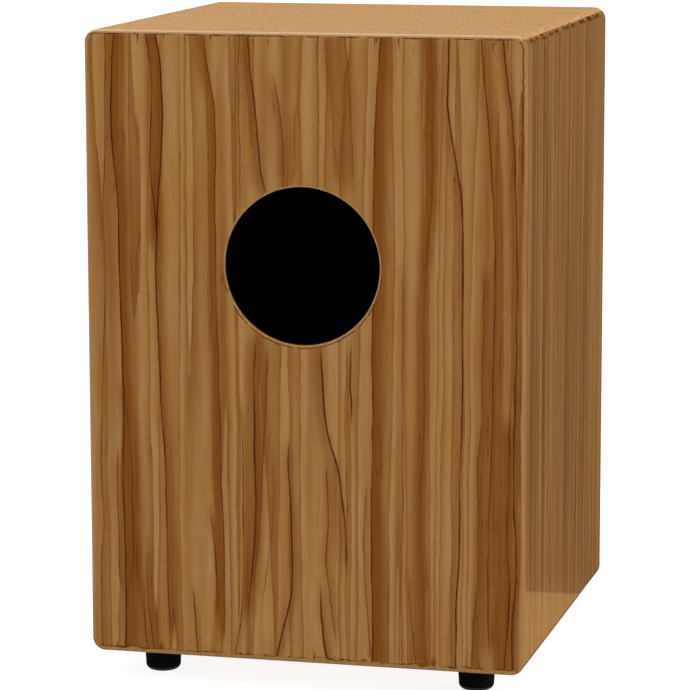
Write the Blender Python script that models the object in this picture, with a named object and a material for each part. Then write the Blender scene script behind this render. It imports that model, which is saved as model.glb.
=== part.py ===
"""Box cajon, 12 x 12 x 17.75 in, with an adjustable snare inside.

Frame: metres, +Z up, origin on the floor under the middle of the box. The rear panel, with its
sound hole, faces -Y; the tapa, the thin plate that is played, faces +Y. Left is -X and right is +X,
as seen from the sound hole's side.

The snare rail turns on two steel pins behind the tapa. A long socket-head screw, reached from under
the box, moves a barrel nut on the rail's lever up and down, and so presses the snares on the tapa
or draws them off it.
"""

import math

import bmesh
import bpy
from mathutils import Matrix, Vector

# Driving dimensions
BODY_WIDTH = 0.305
BODY_DEPTH = 0.305
BODY_HEIGHT = 0.431
FOOT_HEIGHT = 0.020
WALL = 0.010  # top, bottom and sides
REAR_THICKNESS = 0.008
TAPA_THICKNESS = 0.003
CORNER_RADIUS = 0.009  # the four corners of the box, seen from the rear or the front
EDGE_ROUND = 0.0055  # round edge all about the rear panel
TAPA_ROUND = 0.0022
GAP = 0.0003  # left between pieces that touch

HOLE_RADIUS = 0.0535
HOLE_BELOW_TOP = 0.1565
HOLE_ROUND = 0.0012

FOOT_RADIUS = 0.013
FOOT_INSET = 0.040  # foot's centre from the box's sides

BATTEN = 0.016
TAPA_SCREW_INSET = 0.017
TAPA_SCREWS_DOWN_EACH_SIDE = 4  # between the corner screws

RAIL_HEIGHT_ABOVE_FLOOR = 0.282
RAIL_BEHIND_TAPA = 0.020
RAIL_SECTION = (0.022, 0.024)  # depth along Y, height along Z
RAIL_LENGTH = 0.258
PIN_RADIUS = 0.003
BRACKET_SIZE = (0.012, 0.028, 0.048)

SNARE_OFFSET = 0.068  # middle of each snare set from the middle of the box
SNARE_STRANDS = 10
STRAND_PITCH = 0.0048
STRAND_RADIUS = 0.001
STRAND_RISE = 0.124
PLATE_SIZE = (0.052, 0.001, 0.016)
PLATE_DROP = 0.006  # plate's lower edge below the rail's axis

LEVER_ARM = 0.030  # rail's axis to the barrel nut's axis
LEVER_HEIGHT = 0.014
LEVER_SHEET = 0.0016
TENSION_SCREW_RADIUS = 0.003

# Derived places
BODY_BOTTOM = FOOT_HEIGHT
BODY_TOP = FOOT_HEIGHT + BODY_HEIGHT
BODY_MIDDLE = (BODY_BOTTOM + BODY_TOP) / 2
REAR_FACE = -BODY_DEPTH / 2
TAPA_FACE = BODY_DEPTH / 2
TAPA_BACK = TAPA_FACE - TAPA_THICKNESS
RING_REAR = REAR_FACE + REAR_THICKNESS + GAP
RING_FRONT = TAPA_BACK - GAP
INNER_HALF_WIDTH = BODY_WIDTH / 2 - WALL
INNER_BOTTOM = BODY_BOTTOM + WALL
INNER_TOP = BODY_TOP - WALL
RAIL_FRONT = TAPA_BACK - RAIL_BEHIND_TAPA
RAIL_Y = RAIL_FRONT - RAIL_SECTION[0] / 2
RAIL_Z = RAIL_HEIGHT_ABOVE_FLOOR
RAIL_REAR = RAIL_Y - RAIL_SECTION[0] / 2
NUT_Y = RAIL_Y - LEVER_ARM
BRACKET_FACE = INNER_HALF_WIDTH - GAP - BRACKET_SIZE[0]  # the face towards the rail's end

ARC_STEPS = 3
SCREW_SIDES = 8
BORE_SIDES = 12
WIDEST_SCREW_HOLE = 0.0025  # radius; a wider round hole has BORE_SIDES
FOOT_SIDES = 20

# Rotations that turn a piece made along local +Z
FACE_REAR = Matrix.Rotation(math.radians(90), 4, "X")
FACE_FRONT = Matrix.Rotation(math.radians(-90), 4, "X")
FACE_RIGHT = Matrix.Rotation(math.radians(90), 4, "Y")
FACE_LEFT = Matrix.Rotation(math.radians(-90), 4, "Y")
FACE_DOWN = Matrix.Rotation(math.radians(180), 4, "X")


def clear_scene():
    for obj in list(bpy.data.objects):
        bpy.data.objects.remove(obj, do_unlink=True)


# Materials


def make_material(name, colour, roughness, metallic=0.0):
    material = bpy.data.materials.new(name)
    material.use_nodes = True
    shader = material.node_tree.nodes["Principled BSDF"]
    shader.inputs["Base Color"].default_value = (*colour, 1.0)
    shader.inputs["Roughness"].default_value = roughness
    shader.inputs["Metallic"].default_value = metallic
    return material


def make_materials():
    return {
        "figured_veneer": make_material("figured_veneer", (0.31, 0.15, 0.045), 0.25),
        "straight_veneer": make_material("straight_veneer", (0.26, 0.13, 0.05), 0.25),
        "seat_veneer": make_material("seat_veneer", (0.52, 0.30, 0.12), 0.4),
        "base_board": make_material("base_board", (0.30, 0.18, 0.08), 0.6),
        "blackened_wood": make_material("blackened_wood", (0.018, 0.016, 0.014), 0.8),
        "rubber": make_material("rubber", (0.012, 0.012, 0.011), 0.7),
        "zinc_steel": make_material("zinc_steel", (0.62, 0.62, 0.60), 0.35, 1.0),
        "black_steel": make_material("black_steel", (0.02, 0.02, 0.02), 0.35, 0.6),
        "snare_wire": make_material("snare_wire", (0.75, 0.74, 0.70), 0.2, 1.0),
        "nylon": make_material("nylon", (0.03, 0.03, 0.03), 0.5),
    }


# Shapes


def finish_object(name, bm, material, place=None):
    """Closes off a bmesh as a named object, with its faces turned outwards."""
    bmesh.ops.recalc_face_normals(bm, faces=bm.faces)
    mesh = bpy.data.meshes.new(name)
    bm.to_mesh(mesh)
    bm.free()
    if material is not None:
        mesh.materials.append(material)
    obj = bpy.data.objects.new(name, mesh)
    bpy.context.scene.collection.objects.link(obj)
    if place is not None:
        obj.matrix_world = place
    return obj


def shade_round(obj):
    obj.data.shade_smooth()
    obj.data.set_sharp_from_angle(angle=math.radians(35))
    return obj


def at(x, y, z, turn=None):
    """Matrix that puts a piece at a point, after turning it."""
    place = Matrix.Translation(Vector((x, y, z)))
    return place if turn is None else place @ turn


def stack_loops(bm, loops):
    """Closed body through loops of the same number of points, with flat ends."""
    rings = [[bm.verts.new(point) for point in loop] for loop in loops]
    for low, high in zip(rings, rings[1:]):
        for i in range(len(low)):
            j = (i + 1) % len(low)
            bm.faces.new((low[i], low[j], high[j], high[i]))
    bm.faces.new(rings[0][::-1])
    bm.faces.new(rings[-1])


def prism(name, outline, start, end, axis, material):
    """Outline extruded from start to end. It is read as (Y, Z), (X, Z) or (X, Y) for axis X, Y or Z."""
    to_point = {
        "X": lambda u, v, w: (w, u, v),
        "Y": lambda u, v, w: (u, w, v),
        "Z": lambda u, v, w: (u, v, w),
    }[axis]
    bm = bmesh.new()
    stack_loops(bm, [[to_point(u, v, w) for u, v in outline] for w in (start, end)])
    return finish_object(name, bm, material)


def box(name, low, high, material):
    outline = [(low[0], low[1]), (high[0], low[1]), (high[0], high[1]), (low[0], high[1])]
    return prism(name, outline, low[2], high[2], "Z", material)


def chamfered_rectangle(centre, size, chamfer):
    u, v = size[0] / 2, size[1] / 2
    c = chamfer
    half = [(u - c, -v), (u, c - v), (u, v - c), (u - c, v)]
    corners = half + [(-a, -b) for a, b in half]
    return [(centre[0] + a, centre[1] + b) for a, b in corners]


def arc(centre, radius, first_deg, last_deg, steps):
    angles = [math.radians(first_deg + (last_deg - first_deg) * i / steps) for i in range(steps + 1)]
    return [(centre[0] + radius * math.cos(a), centre[1] + radius * math.sin(a)) for a in angles]


def rounded_rectangle(width, height, radius, middle):
    """Outline about (0, middle), anticlockwise from the lower right corner."""
    u, v = width / 2 - radius, height / 2 - radius
    steps = 2 * ARC_STEPS
    corners = [((u, -v), -90), ((u, v), 0), ((-u, v), 90), ((-u, -v), 180)]
    points = []
    for (cu, cv), first in corners:
        points += arc((cu, middle + cv), radius, first, first + 90, steps)
    return points


def turned_bmesh(profile, sides):
    """Body turned about Z from (radius, height) points. A profile that keeps off the axis makes a ring."""
    bm = bmesh.new()
    on_axis = profile[0][0] == 0 and profile[-1][0] == 0
    count = len(profile)
    rings = []
    for radius, height in profile:
        if radius == 0:
            rings.append([bm.verts.new((0, 0, height))])
            continue
        angles = [2 * math.pi * k / sides for k in range(sides)]
        rings.append([bm.verts.new((radius * math.cos(a), radius * math.sin(a), height)) for a in angles])
    pairs = [(i, i + 1) for i in range(count - 1)]
    if not on_axis:
        pairs.append((count - 1, 0))
    for i, j in pairs:
        for k in range(sides):
            n = (k + 1) % sides
            quad = [rings[i][k % len(rings[i])], rings[i][n % len(rings[i])]]
            quad += [rings[j][n % len(rings[j])], rings[j][k % len(rings[j])]]
            bm.faces.new(list(dict.fromkeys(quad)))
    bmesh.ops.recalc_face_normals(bm, faces=bm.faces)
    return bm


def turned(name, profile, sides, material, place=None):
    return shade_round(finish_object(name, turned_bmesh(profile, sides), material, place))


def rod_profile(radius, low, high):
    return [(0, low), (radius, low), (radius, high), (0, high)]


# Cutting and joining


def gather(name, rods):
    """One hidden cutter of separate rods, each (profile, sides, place)."""
    bm = bmesh.new()
    for profile, sides, place in rods:
        piece = turned_bmesh(profile, sides)
        piece.transform(place)
        mesh = bpy.data.meshes.new(name)
        piece.to_mesh(mesh)
        piece.free()
        bm.from_mesh(mesh)
        bpy.data.meshes.remove(mesh)
    return hide_helper(finish_object(name, bm, None))


def hide_helper(obj):
    obj.hide_render = True
    obj.display_type = "WIRE"
    return obj


def combine(target, helper, operation="DIFFERENCE"):
    modifier = target.modifiers.new(operation.lower(), "BOOLEAN")
    modifier.operation = operation
    modifier.object = helper
    modifier.solver = "EXACT"
    return target


def drill(target, holes):
    """Cuts round holes, each (radius, depth, place), from a surface whose outward side is local +Z."""
    over = 0.002
    rods = []
    for radius, depth, place in holes:
        sides = SCREW_SIDES if radius < WIDEST_SCREW_HOLE else BORE_SIDES
        rods.append((rod_profile(radius, -depth, over), sides, place))
    return combine(target, gather(target.name + "_holes", rods))


# Fasteners


def screw_profile(head_radius, head_height, shank_radius, length):
    """Pan-head wood screw with its head's seat at height 0 and its point down."""
    point = 1.6 * shank_radius
    return [
        (0, head_height),
        (0.7 * head_radius, 0.85 * head_height),
        (head_radius, 0),
        (shank_radius, 0),
        (shank_radius, point - length),
        (0, -length),
    ]


SCREW_SHANK = 0.00175
SCREW_HOLE = SCREW_SHANK + GAP
SCREW_HEAD = (0.0033, 0.0021)  # radius, height


def small_screw(name, length, place, material, head=SCREW_HEAD):
    """Pan-head screw whose seat stands a gap above the surface that place puts at height 0."""
    lifted = place @ Matrix.Translation((0, 0, GAP))
    return turned(name, screw_profile(*head, SCREW_SHANK, length), SCREW_SIDES, material, lifted)


# The box


def ring_panel(name, half_length, half_across, to_xz, material):
    """One wall of the box: mitred at both ends, with half of each round corner."""
    centre = (half_length - CORNER_RADIUS, half_across - CORNER_RADIUS)
    mitre_gap = GAP / 2 * math.sqrt(2)
    inner = (half_length - WALL, half_across - WALL)
    right = [inner, *arc(centre, CORNER_RADIUS, 45, 90, ARC_STEPS)]
    right = [(u - mitre_gap, v) for u, v in right]
    left = [(-u, v) for u, v in reversed(right)]
    outline = [to_xz(u, v) for u, v in right + left]
    return prism(name, outline, RING_REAR, RING_FRONT, "Y", material)


def build_walls(materials):
    half_width, half_height = BODY_WIDTH / 2, BODY_HEIGHT / 2
    seat, side, base = (materials[k] for k in ("seat_veneer", "straight_veneer", "base_board"))
    z = BODY_MIDDLE
    ring_panel("top_panel", half_width, half_height, lambda u, v: (u, z + v), seat)
    bottom = ring_panel("bottom_panel", half_width, half_height, lambda u, v: (-u, z - v), base)
    right = ring_panel("right_side_panel", half_height, half_width, lambda u, v: (v, z - u), side)
    left = ring_panel("left_side_panel", half_height, half_width, lambda u, v: (-v, z + u), side)
    pilot_depth = 0.0085
    holes = [(FOOT_SHANK + GAP, pilot_depth, at(x, y, BODY_BOTTOM, FACE_DOWN)) for _, x, y in foot_places()]
    holes.append((BUSH_RADIUS + GAP, 2 * WALL, at(0, NUT_Y, BODY_BOTTOM, FACE_DOWN)))
    drill(bottom, holes)
    for panel, sign, turn in ((left, -1, FACE_RIGHT), (right, 1, FACE_LEFT)):
        places = [at(sign * INNER_HALF_WIDTH, RAIL_Y, height, turn) for height in bracket_screw_heights()]
        drill(panel, [(SCREW_HOLE, 0.0075, place) for place in places])


def face_plate(name, outer_face, inner_face, edge_round, material):
    """Flat plate over the whole of one end of the box, with a round edge all about its outer face."""
    inwards = math.copysign(1, inner_face - outer_face)

    def loop(inset, y):
        size = (BODY_WIDTH - 2 * inset, BODY_HEIGHT - 2 * inset)
        outline = rounded_rectangle(*size, CORNER_RADIUS - inset, BODY_MIDDLE)
        return [(x, y, z) for x, z in outline]

    loops = [loop(0, inner_face)]
    for i in range(ARC_STEPS + 1):
        a = math.radians(90) * i / ARC_STEPS
        depth = edge_round * (1 - math.sin(a))
        loops.append(loop(edge_round * (1 - math.cos(a)), outer_face + inwards * depth))
    bm = bmesh.new()
    stack_loops(bm, loops)
    return finish_object(name, bm, material)


def build_rear_panel(materials):
    inner_face = REAR_FACE + REAR_THICKNESS
    rear = face_plate("rear_panel", REAR_FACE, inner_face, EDGE_ROUND, materials["figured_veneer"])
    over = 0.002
    flare = [
        (HOLE_RADIUS + HOLE_ROUND * (1 - math.cos(a)), -HOLE_ROUND * (1 - math.sin(a)))
        for a in (math.radians(90) * i / 3 for i in range(4))
    ]
    profile = [(0, -REAR_THICKNESS - over), (HOLE_RADIUS, -REAR_THICKNESS - over), *flare]
    profile += [(HOLE_RADIUS + HOLE_ROUND, over), (0, over)]
    place = at(0, REAR_FACE, BODY_TOP - HOLE_BELOW_TOP, FACE_REAR)
    combine(rear, gather("sound_hole_cutter", [(profile, 56, place)]))


def tapa_screw_places():
    """(name, x, z) of each tapa screw: three along the top and the bottom, the rest down the sides."""
    across = BODY_WIDTH / 2 - TAPA_SCREW_INSET
    low, high = BODY_BOTTOM + TAPA_SCREW_INSET, BODY_TOP - TAPA_SCREW_INSET
    columns = {"left": -across, "middle": 0, "right": across}
    places = []
    for row, z in (("top", high), ("bottom", low)):
        places += [(f"tapa_screw_{row}_{column}", x, z) for column, x in columns.items()]
    for i in range(1, TAPA_SCREWS_DOWN_EACH_SIDE + 1):
        z = high + (low - high) * i / (TAPA_SCREWS_DOWN_EACH_SIDE + 1)
        places += [(f"tapa_screw_{side}_{i}", columns[side], z) for side in ("left", "right")]
    return places


def build_tapa(materials):
    tapa = face_plate("tapa", TAPA_FACE, TAPA_BACK, TAPA_ROUND, materials["figured_veneer"])
    places = tapa_screw_places()
    drill(tapa, [(SCREW_HOLE, 2 * TAPA_THICKNESS, at(x, TAPA_FACE, z, FACE_FRONT)) for _, x, z in places])
    for name, x, z in places:
        place = at(x, TAPA_FACE, z, FACE_FRONT)
        small_screw(name, 0.016, place, materials["black_steel"], head=(0.0036, 0.0020))


def build_battens(materials):
    """Square strips glued round the inside of the front, which the tapa's screws go into."""
    across = INNER_HALF_WIDTH - GAP
    rear, front = RING_FRONT - BATTEN, RING_FRONT
    low, high = INNER_BOTTOM + GAP, INNER_TOP - GAP
    spans = {
        "front_batten_top": ((-across, high - BATTEN), (across, high)),
        "front_batten_bottom": ((-across, low), (across, low + BATTEN)),
        "front_batten_left": ((-across, low + BATTEN + GAP), (BATTEN - across, high - BATTEN - GAP)),
        "front_batten_right": ((across - BATTEN, low + BATTEN + GAP), (across, high - BATTEN - GAP)),
    }
    pilot_depth = 0.0145
    for name, ((x0, z0), (x1, z1)) in spans.items():
        batten = box(name, (x0, rear, z0), (x1, front, z1), materials["blackened_wood"])
        inside = [(x, z) for _, x, z in tapa_screw_places() if x0 < x < x1 and z0 < z < z1]
        drill(batten, [(SCREW_HOLE, pilot_depth, at(x, front, z, FACE_FRONT)) for x, z in inside])


# Feet

FOOT_SHANK = 0.002
FOOT_RECESS = (0.0055, 0.010)  # radius, depth, up from the floor
WASHER = (0.0052, 0.0012)  # radius, thickness


def foot_places():
    x, y = BODY_WIDTH / 2 - FOOT_INSET, BODY_DEPTH / 2 - FOOT_INSET
    return [
        ("rear_left", -x, -y),
        ("rear_right", x, -y),
        ("front_left", -x, y),
        ("front_right", x, y),
    ]


def foot_profile():
    """Ring profile of the rubber foot: a slight taper, a round lower edge and a recess for the screw."""
    edge, taper = 0.004, 0.0008
    top = FOOT_HEIGHT - GAP
    bore = FOOT_SHANK + GAP
    lower_edge = arc((FOOT_RADIUS - taper - edge, edge), edge, 0, -90, ARC_STEPS)
    recess, depth = FOOT_RECESS
    return [(bore, top), (FOOT_RADIUS, top), *lower_edge, (recess, 0), (recess, depth), (bore, depth)]


def build_feet(materials):
    washer_radius, washer_sheet = WASHER
    seat = FOOT_RECESS[1] - GAP - washer_sheet
    bore = FOOT_SHANK + GAP
    top = seat + washer_sheet
    ring = [(bore, seat), (washer_radius, seat), (washer_radius, top), (bore, top)]
    screw_length = BODY_BOTTOM + 0.008 - seat
    for corner, x, y in foot_places():
        turned(f"foot_{corner}", foot_profile(), FOOT_SIDES, materials["rubber"], at(x, y, 0))
        turned(f"foot_washer_{corner}", ring, BORE_SIDES, materials["zinc_steel"], at(x, y, 0))
        profile = screw_profile(0.004, 0.0026, FOOT_SHANK, screw_length)
        place = at(x, y, seat - GAP, FACE_DOWN)
        turned(f"foot_screw_{corner}", profile, SCREW_SIDES, materials["zinc_steel"], place)


# Snare rail and its bearings


def bracket_screw_heights():
    reach = BRACKET_SIZE[2] / 2 - 0.0065
    return (RAIL_Z - reach, RAIL_Z + reach)


def snare_screw_places():
    """(name, x, z) of the screws through the two snare plates."""
    reach, drop = 0.018, 0.002
    places = []
    for side, sign in (("left", -1), ("right", 1)):
        for end, offset in (("outer", reach), ("inner", -reach)):
            places.append((f"snare_screw_{side}_{end}", sign * (SNARE_OFFSET + offset), RAIL_Z - drop))
    return places


LEVER_SCREW_X = 0.0148
PIN_DEPTH_IN_RAIL = 0.014
PIN_DEPTH_IN_BRACKET = 0.0088


def build_rail(materials):
    outline = chamfered_rectangle((RAIL_Y, RAIL_Z), RAIL_SECTION, 0.0015)
    rail = prism("snare_rail", outline, -RAIL_LENGTH / 2, RAIL_LENGTH / 2, "X", materials["blackened_wood"])
    pilot_depth = 0.013
    end_bore = PIN_DEPTH_IN_RAIL + 0.0008
    holes = [(SCREW_HOLE, pilot_depth, at(x, RAIL_FRONT, z, FACE_FRONT)) for _, x, z in snare_screw_places()]
    for x in (-LEVER_SCREW_X, LEVER_SCREW_X):
        holes.append((SCREW_HOLE, 0.009, at(x, RAIL_REAR, RAIL_Z, FACE_REAR)))
    for sign, turn in ((-1, FACE_LEFT), (1, FACE_RIGHT)):
        holes.append((PIN_RADIUS + GAP, end_bore, at(sign * RAIL_LENGTH / 2, RAIL_Y, RAIL_Z, turn)))
    drill(rail, holes)


def build_rail_bearings(materials):
    thickness, depth, height = BRACKET_SIZE
    sides = (("left", -1, FACE_LEFT, FACE_RIGHT), ("right", 1, FACE_RIGHT, FACE_LEFT))
    for side, sign, to_wall, to_rail in sides:
        ends = sorted((sign * BRACKET_FACE, sign * (BRACKET_FACE + thickness)))
        outline = chamfered_rectangle((RAIL_Y, RAIL_Z), (depth, height), 0.003)
        bracket = prism(f"rail_bracket_{side}", outline, *ends, "X", materials["nylon"])
        face = sign * BRACKET_FACE
        holes = [(PIN_RADIUS + GAP, PIN_DEPTH_IN_BRACKET + 0.0007, at(face, RAIL_Y, RAIL_Z, to_rail))]
        holes += [(SCREW_HOLE, 2 * thickness, at(face, RAIL_Y, z, to_rail)) for z in bracket_screw_heights()]
        drill(bracket, holes)
        low = RAIL_LENGTH / 2 - PIN_DEPTH_IN_RAIL
        high = BRACKET_FACE + PIN_DEPTH_IN_BRACKET
        pin = rod_profile(PIN_RADIUS, low, high)
        turned(f"rail_pin_{side}", pin, BORE_SIDES, materials["zinc_steel"], at(0, RAIL_Y, RAIL_Z, to_wall))
        for which, z in zip(("lower", "upper"), bracket_screw_heights()):
            place = at(face, RAIL_Y, z, to_rail)
            small_screw(f"bracket_screw_{side}_{which}", 0.0185, place, materials["zinc_steel"])


# Snares


def strand_rods(middle_x):
    """The strands of one snare set: from the plate on the rail's front, up and forward to the tapa."""
    bite = 0.4 * STRAND_RADIUS  # how far each strand is sunk in the plate
    foot = Vector((0, RAIL_FRONT + GAP + PLATE_SIZE[1] + STRAND_RADIUS - bite, RAIL_Z + 0.004))
    tip = Vector((0, TAPA_BACK - GAP - STRAND_RADIUS, RAIL_Z + 0.004 + STRAND_RISE))
    along = tip - foot
    turn = along.to_track_quat("Z", "Y").to_matrix().to_4x4()
    rods = []
    for i in range(SNARE_STRANDS):
        x = middle_x + (i - (SNARE_STRANDS - 1) / 2) * STRAND_PITCH
        place = Matrix.Translation((x, foot.y, foot.z)) @ turn
        rods.append((rod_profile(STRAND_RADIUS, 0, along.length), 6, place))
    return rods


def build_snares(materials):
    width, sheet, height = PLATE_SIZE
    low_y = RAIL_FRONT + GAP
    for side, sign in (("left", -1), ("right", 1)):
        x, z = sign * SNARE_OFFSET, RAIL_Z - PLATE_DROP
        corners = (x - width / 2, low_y, z), (x + width / 2, low_y + sheet, z + height)
        snare = box(f"snare_{side}", *corners, materials["snare_wire"])
        combine(snare, gather(f"snare_strands_{side}", strand_rods(x)), "UNION")
        holes = [p for p in snare_screw_places() if p[0].startswith(f"snare_screw_{side}")]
        drill(snare, [(SCREW_HOLE, 2 * sheet, at(sx, low_y + sheet, sz, FACE_FRONT)) for _, sx, sz in holes])
        for name, sx, sz in holes:
            place = at(sx, low_y + sheet, sz, FACE_FRONT)
            small_screw(name, 0.0125, place, materials["black_steel"], head=(0.003, 0.0018))


# Tension screw, which works the rail from under the box

BUSH_RADIUS = 0.005
BUSH_FLANGE = (0.009, 0.0015)  # radius, thickness
CAP_HEAD = (0.005, 0.006)  # radius, height
HEX_SOCKET = (0.0029, 0.003)  # radius over the corners, depth
TRUNNION = 0.0025


def hexagon(radius_over_corners):
    return arc((0, 0), radius_over_corners, 0, 300, 5)


def build_lever(materials):
    """Sheet steel bracket on the rail's rear face, with two ears that hold the barrel nut."""
    base = RAIL_REAR - GAP
    ear_end = NUT_Y - 0.007
    flange, outer, inner, sheet = 0.020, 0.0096, 0.0080, LEVER_SHEET
    right = [(flange, base), (flange, base - sheet), (outer, base - sheet)]
    right += [(outer, ear_end), (inner, ear_end), (inner, base - sheet)]
    outline = right + [(-x, y) for x, y in reversed(right)]
    half = LEVER_HEIGHT / 2
    lever = prism("snare_lever", outline, RAIL_Z - half, RAIL_Z + half, "Z", materials["black_steel"])
    screw_x = (-LEVER_SCREW_X, LEVER_SCREW_X)
    bore = rod_profile(SCREW_HOLE, -0.004, 0.004)
    rods = [(bore, SCREW_SIDES, at(x, base, RAIL_Z, FACE_REAR)) for x in screw_x]
    ear_bore = rod_profile(TRUNNION + GAP, -0.015, 0.015)
    rods.append((ear_bore, BORE_SIDES, at(0, NUT_Y, RAIL_Z, FACE_RIGHT)))
    combine(lever, gather("snare_lever_holes", rods))
    for side, x in zip(("left", "right"), screw_x):
        place = at(x, base - sheet, RAIL_Z, FACE_REAR)
        small_screw(f"lever_screw_{side}", 0.0095, place, materials["black_steel"])


def build_barrel_nut(materials):
    body, half, end = 0.0055, 0.0075, 0.0105
    profile = [(0, -end), (TRUNNION, -end), (TRUNNION, -half), (body, -half)]
    profile += [(radius, -height) for radius, height in reversed(profile)]
    place = at(0, NUT_Y, RAIL_Z, FACE_RIGHT)
    nut = turned("barrel_nut", profile, BORE_SIDES, materials["black_steel"], place)
    bore = rod_profile(TENSION_SCREW_RADIUS + GAP, -0.01, 0.01)
    combine(nut, gather("barrel_nut_bore", [(bore, BORE_SIDES, at(0, NUT_Y, RAIL_Z))]))


def build_tension_screw(materials):
    steel = materials["black_steel"]
    radius, bore = TENSION_SCREW_RADIUS, TENSION_SCREW_RADIUS + GAP
    flange_radius, flange = BUSH_FLANGE
    top = -GAP  # heights here are from the underside of the box
    sleeve_end = WALL
    bush = [(bore, top - flange), (flange_radius, top - flange), (flange_radius, top)]
    bush += [(BUSH_RADIUS, top), (BUSH_RADIUS, sleeve_end), (bore, sleeve_end)]
    axis = at(0, NUT_Y, BODY_BOTTOM)
    turned("tension_screw_bush", bush, BORE_SIDES, materials["nylon"], axis)

    head_radius, head = CAP_HEAD
    seat = top - flange - GAP
    shank_end = RAIL_Z + 0.013 - BODY_BOTTOM
    profile = [(0, seat - head), (0.92 * head_radius, seat - head), (head_radius, seat - 0.92 * head)]
    profile += [(head_radius, seat), (radius, seat), (radius, shank_end), (0, shank_end)]
    screw = turned("tension_screw", profile, BORE_SIDES, steel, axis)
    corner_radius, depth = HEX_SOCKET
    low = BODY_BOTTOM + seat - head
    outline = [(x, NUT_Y + y) for x, y in hexagon(corner_radius)]
    socket = hide_helper(prism("hex_socket", outline, low - 0.001, low + depth, "Z", None))
    combine(screw, socket)

    nut_low = INNER_BOTTOM + GAP
    outline = [(x, NUT_Y + y) for x, y in hexagon(0.00577)]
    lock_nut = prism("tension_lock_nut", outline, nut_low, nut_low + 0.005, "Z", steel)
    bore_rod = rod_profile(bore, -0.001, 0.006)
    combine(lock_nut, gather("lock_nut_bore", [(bore_rod, BORE_SIDES, at(0, NUT_Y, nut_low))]))


def main():
    clear_scene()
    materials = make_materials()
    build_walls(materials)
    build_rear_panel(materials)
    build_tapa(materials)
    build_battens(materials)
    build_feet(materials)
    build_rail(materials)
    build_rail_bearings(materials)
    build_snares(materials)
    build_lever(materials)
    build_barrel_nut(materials)
    build_tension_screw(materials)


main()
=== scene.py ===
"""Looks of the box cajon: finely rounded panels in lacquered veneer, rubber feet, screws, and the
snare works inside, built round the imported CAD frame.

Lengths are in metres in the shared frame: +Z up, the sound hole's face towards -Y, the tapa towards +Y.
Node materials work in millimetres of each piece's own coordinates.
"""

import math
import random
from types import SimpleNamespace

import bmesh
import bpy
from mathutils import Matrix, Vector


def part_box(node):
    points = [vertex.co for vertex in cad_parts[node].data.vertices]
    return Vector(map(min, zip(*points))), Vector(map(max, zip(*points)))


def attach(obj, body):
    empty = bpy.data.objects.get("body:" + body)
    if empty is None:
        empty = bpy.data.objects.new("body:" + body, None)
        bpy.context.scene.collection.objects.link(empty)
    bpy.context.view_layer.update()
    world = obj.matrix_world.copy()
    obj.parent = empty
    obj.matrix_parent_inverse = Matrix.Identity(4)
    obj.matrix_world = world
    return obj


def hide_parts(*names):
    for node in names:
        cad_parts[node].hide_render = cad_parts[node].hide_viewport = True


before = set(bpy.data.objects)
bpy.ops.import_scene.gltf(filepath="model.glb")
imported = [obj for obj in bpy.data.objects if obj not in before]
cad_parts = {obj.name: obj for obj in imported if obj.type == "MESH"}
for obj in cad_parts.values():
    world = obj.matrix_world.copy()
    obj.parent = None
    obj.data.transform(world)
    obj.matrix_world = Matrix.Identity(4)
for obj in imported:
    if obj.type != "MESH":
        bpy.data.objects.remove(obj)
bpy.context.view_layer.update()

# Places that the frame gives
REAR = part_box("rear_panel")
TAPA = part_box("tapa")
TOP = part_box("top_panel")
HALF_WIDTH = REAR[1].x
BODY_BOTTOM, BODY_TOP = REAR[0].z, REAR[1].z
BODY_MIDDLE = (BODY_BOTTOM + BODY_TOP) / 2
HALF_HEIGHT = (BODY_TOP - BODY_BOTTOM) / 2
WALL = TOP[1].z - TOP[0].z

# Sizes that the frame doesn't state
GLUE_LINE = 0.00002  # left between panels that are glued and lacquered over
GAP = 0.0003
CORNER_RADIUS = 0.009
EDGE_ROUND = 0.0055
TAPA_ROUND = 0.0022
HOLE_RADIUS = 0.0535
HOLE_ROUND = 0.0012
HOLE_CENTRE_Z = BODY_TOP - 0.1565
CORNER_STEPS = 16
ROUND_STEPS = 10
OVERCUT = 0.002  # how far a cutter reaches past the face that it cuts

SCREW_SHANK = 0.00175
SCREW_HOLE = SCREW_SHANK + GAP
FOOT_SHANK = 0.002
FOOT_HOLE = FOOT_SHANK + GAP
FOOT_RECESS = (0.0055, 0.010)  # radius, depth
PILOT_DEPTH = {"bracket": 0.0075, "foot": 0.0085, "batten": 0.0145, "snare": 0.013, "lever": 0.009}
PAN_HEAD = {  # radius, height
    "tapa": (0.0036, 0.0020),
    "foot": (0.0040, 0.0026),
    "bracket": (0.0033, 0.0021),
    "snare": (0.0030, 0.0018),
    "lever": (0.0033, 0.0021),
}
WOOD_THREAD = (0.28, 0.0014, 2.6)  # depth, pitch, length of the point; the first and last in shank radii

PIN_RADIUS = 0.003
PIN_BORE = 0.0148
BRACKET_BORE = 0.0095
PLATE_SIZE = (0.001, 0.016)  # snare's end plate: thickness, height
STRAND_FOOT = 0.010  # strands' lower ends above the plate's lower edge
SNARE_STRANDS = 10
STRAND_PITCH = 0.0048
STRAND_RADIUS = 0.001
STRAND_RISE = 0.124
COIL_RADIUS = 0.00072  # of the coil's middle line
WIRE_RADIUS = 0.00024
COIL_PITCH = 0.0019
COIL_STEPS = 8

LEVER_EARS = (0.0096, 0.0080, 0.0012)  # outer and inner face from the middle, inside radius of the bend
LEVER_INNER_BEND = 0.0004
TRUNNION = 0.0025
NUT_HALF_LENGTH = 0.0075  # of the barrel nut's thick part
SCREW_RADIUS = 0.003
SCREW_THREAD = (0.0005, 0.001)  # depth, pitch
CAP_HEAD = (0.005, 0.006, 0.003, 0.0029)  # radius, height, socket's depth, socket's radius over corners
LOCK_NUT_CORNER = 0.00577
BUSH_RADIUS = 0.005
BUSH_FLANGE = 0.0015

BACKDROP_RADIUS = 24
CARD_HEIGHT = 0.003  # above the floor, for cards that lie on it

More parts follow.
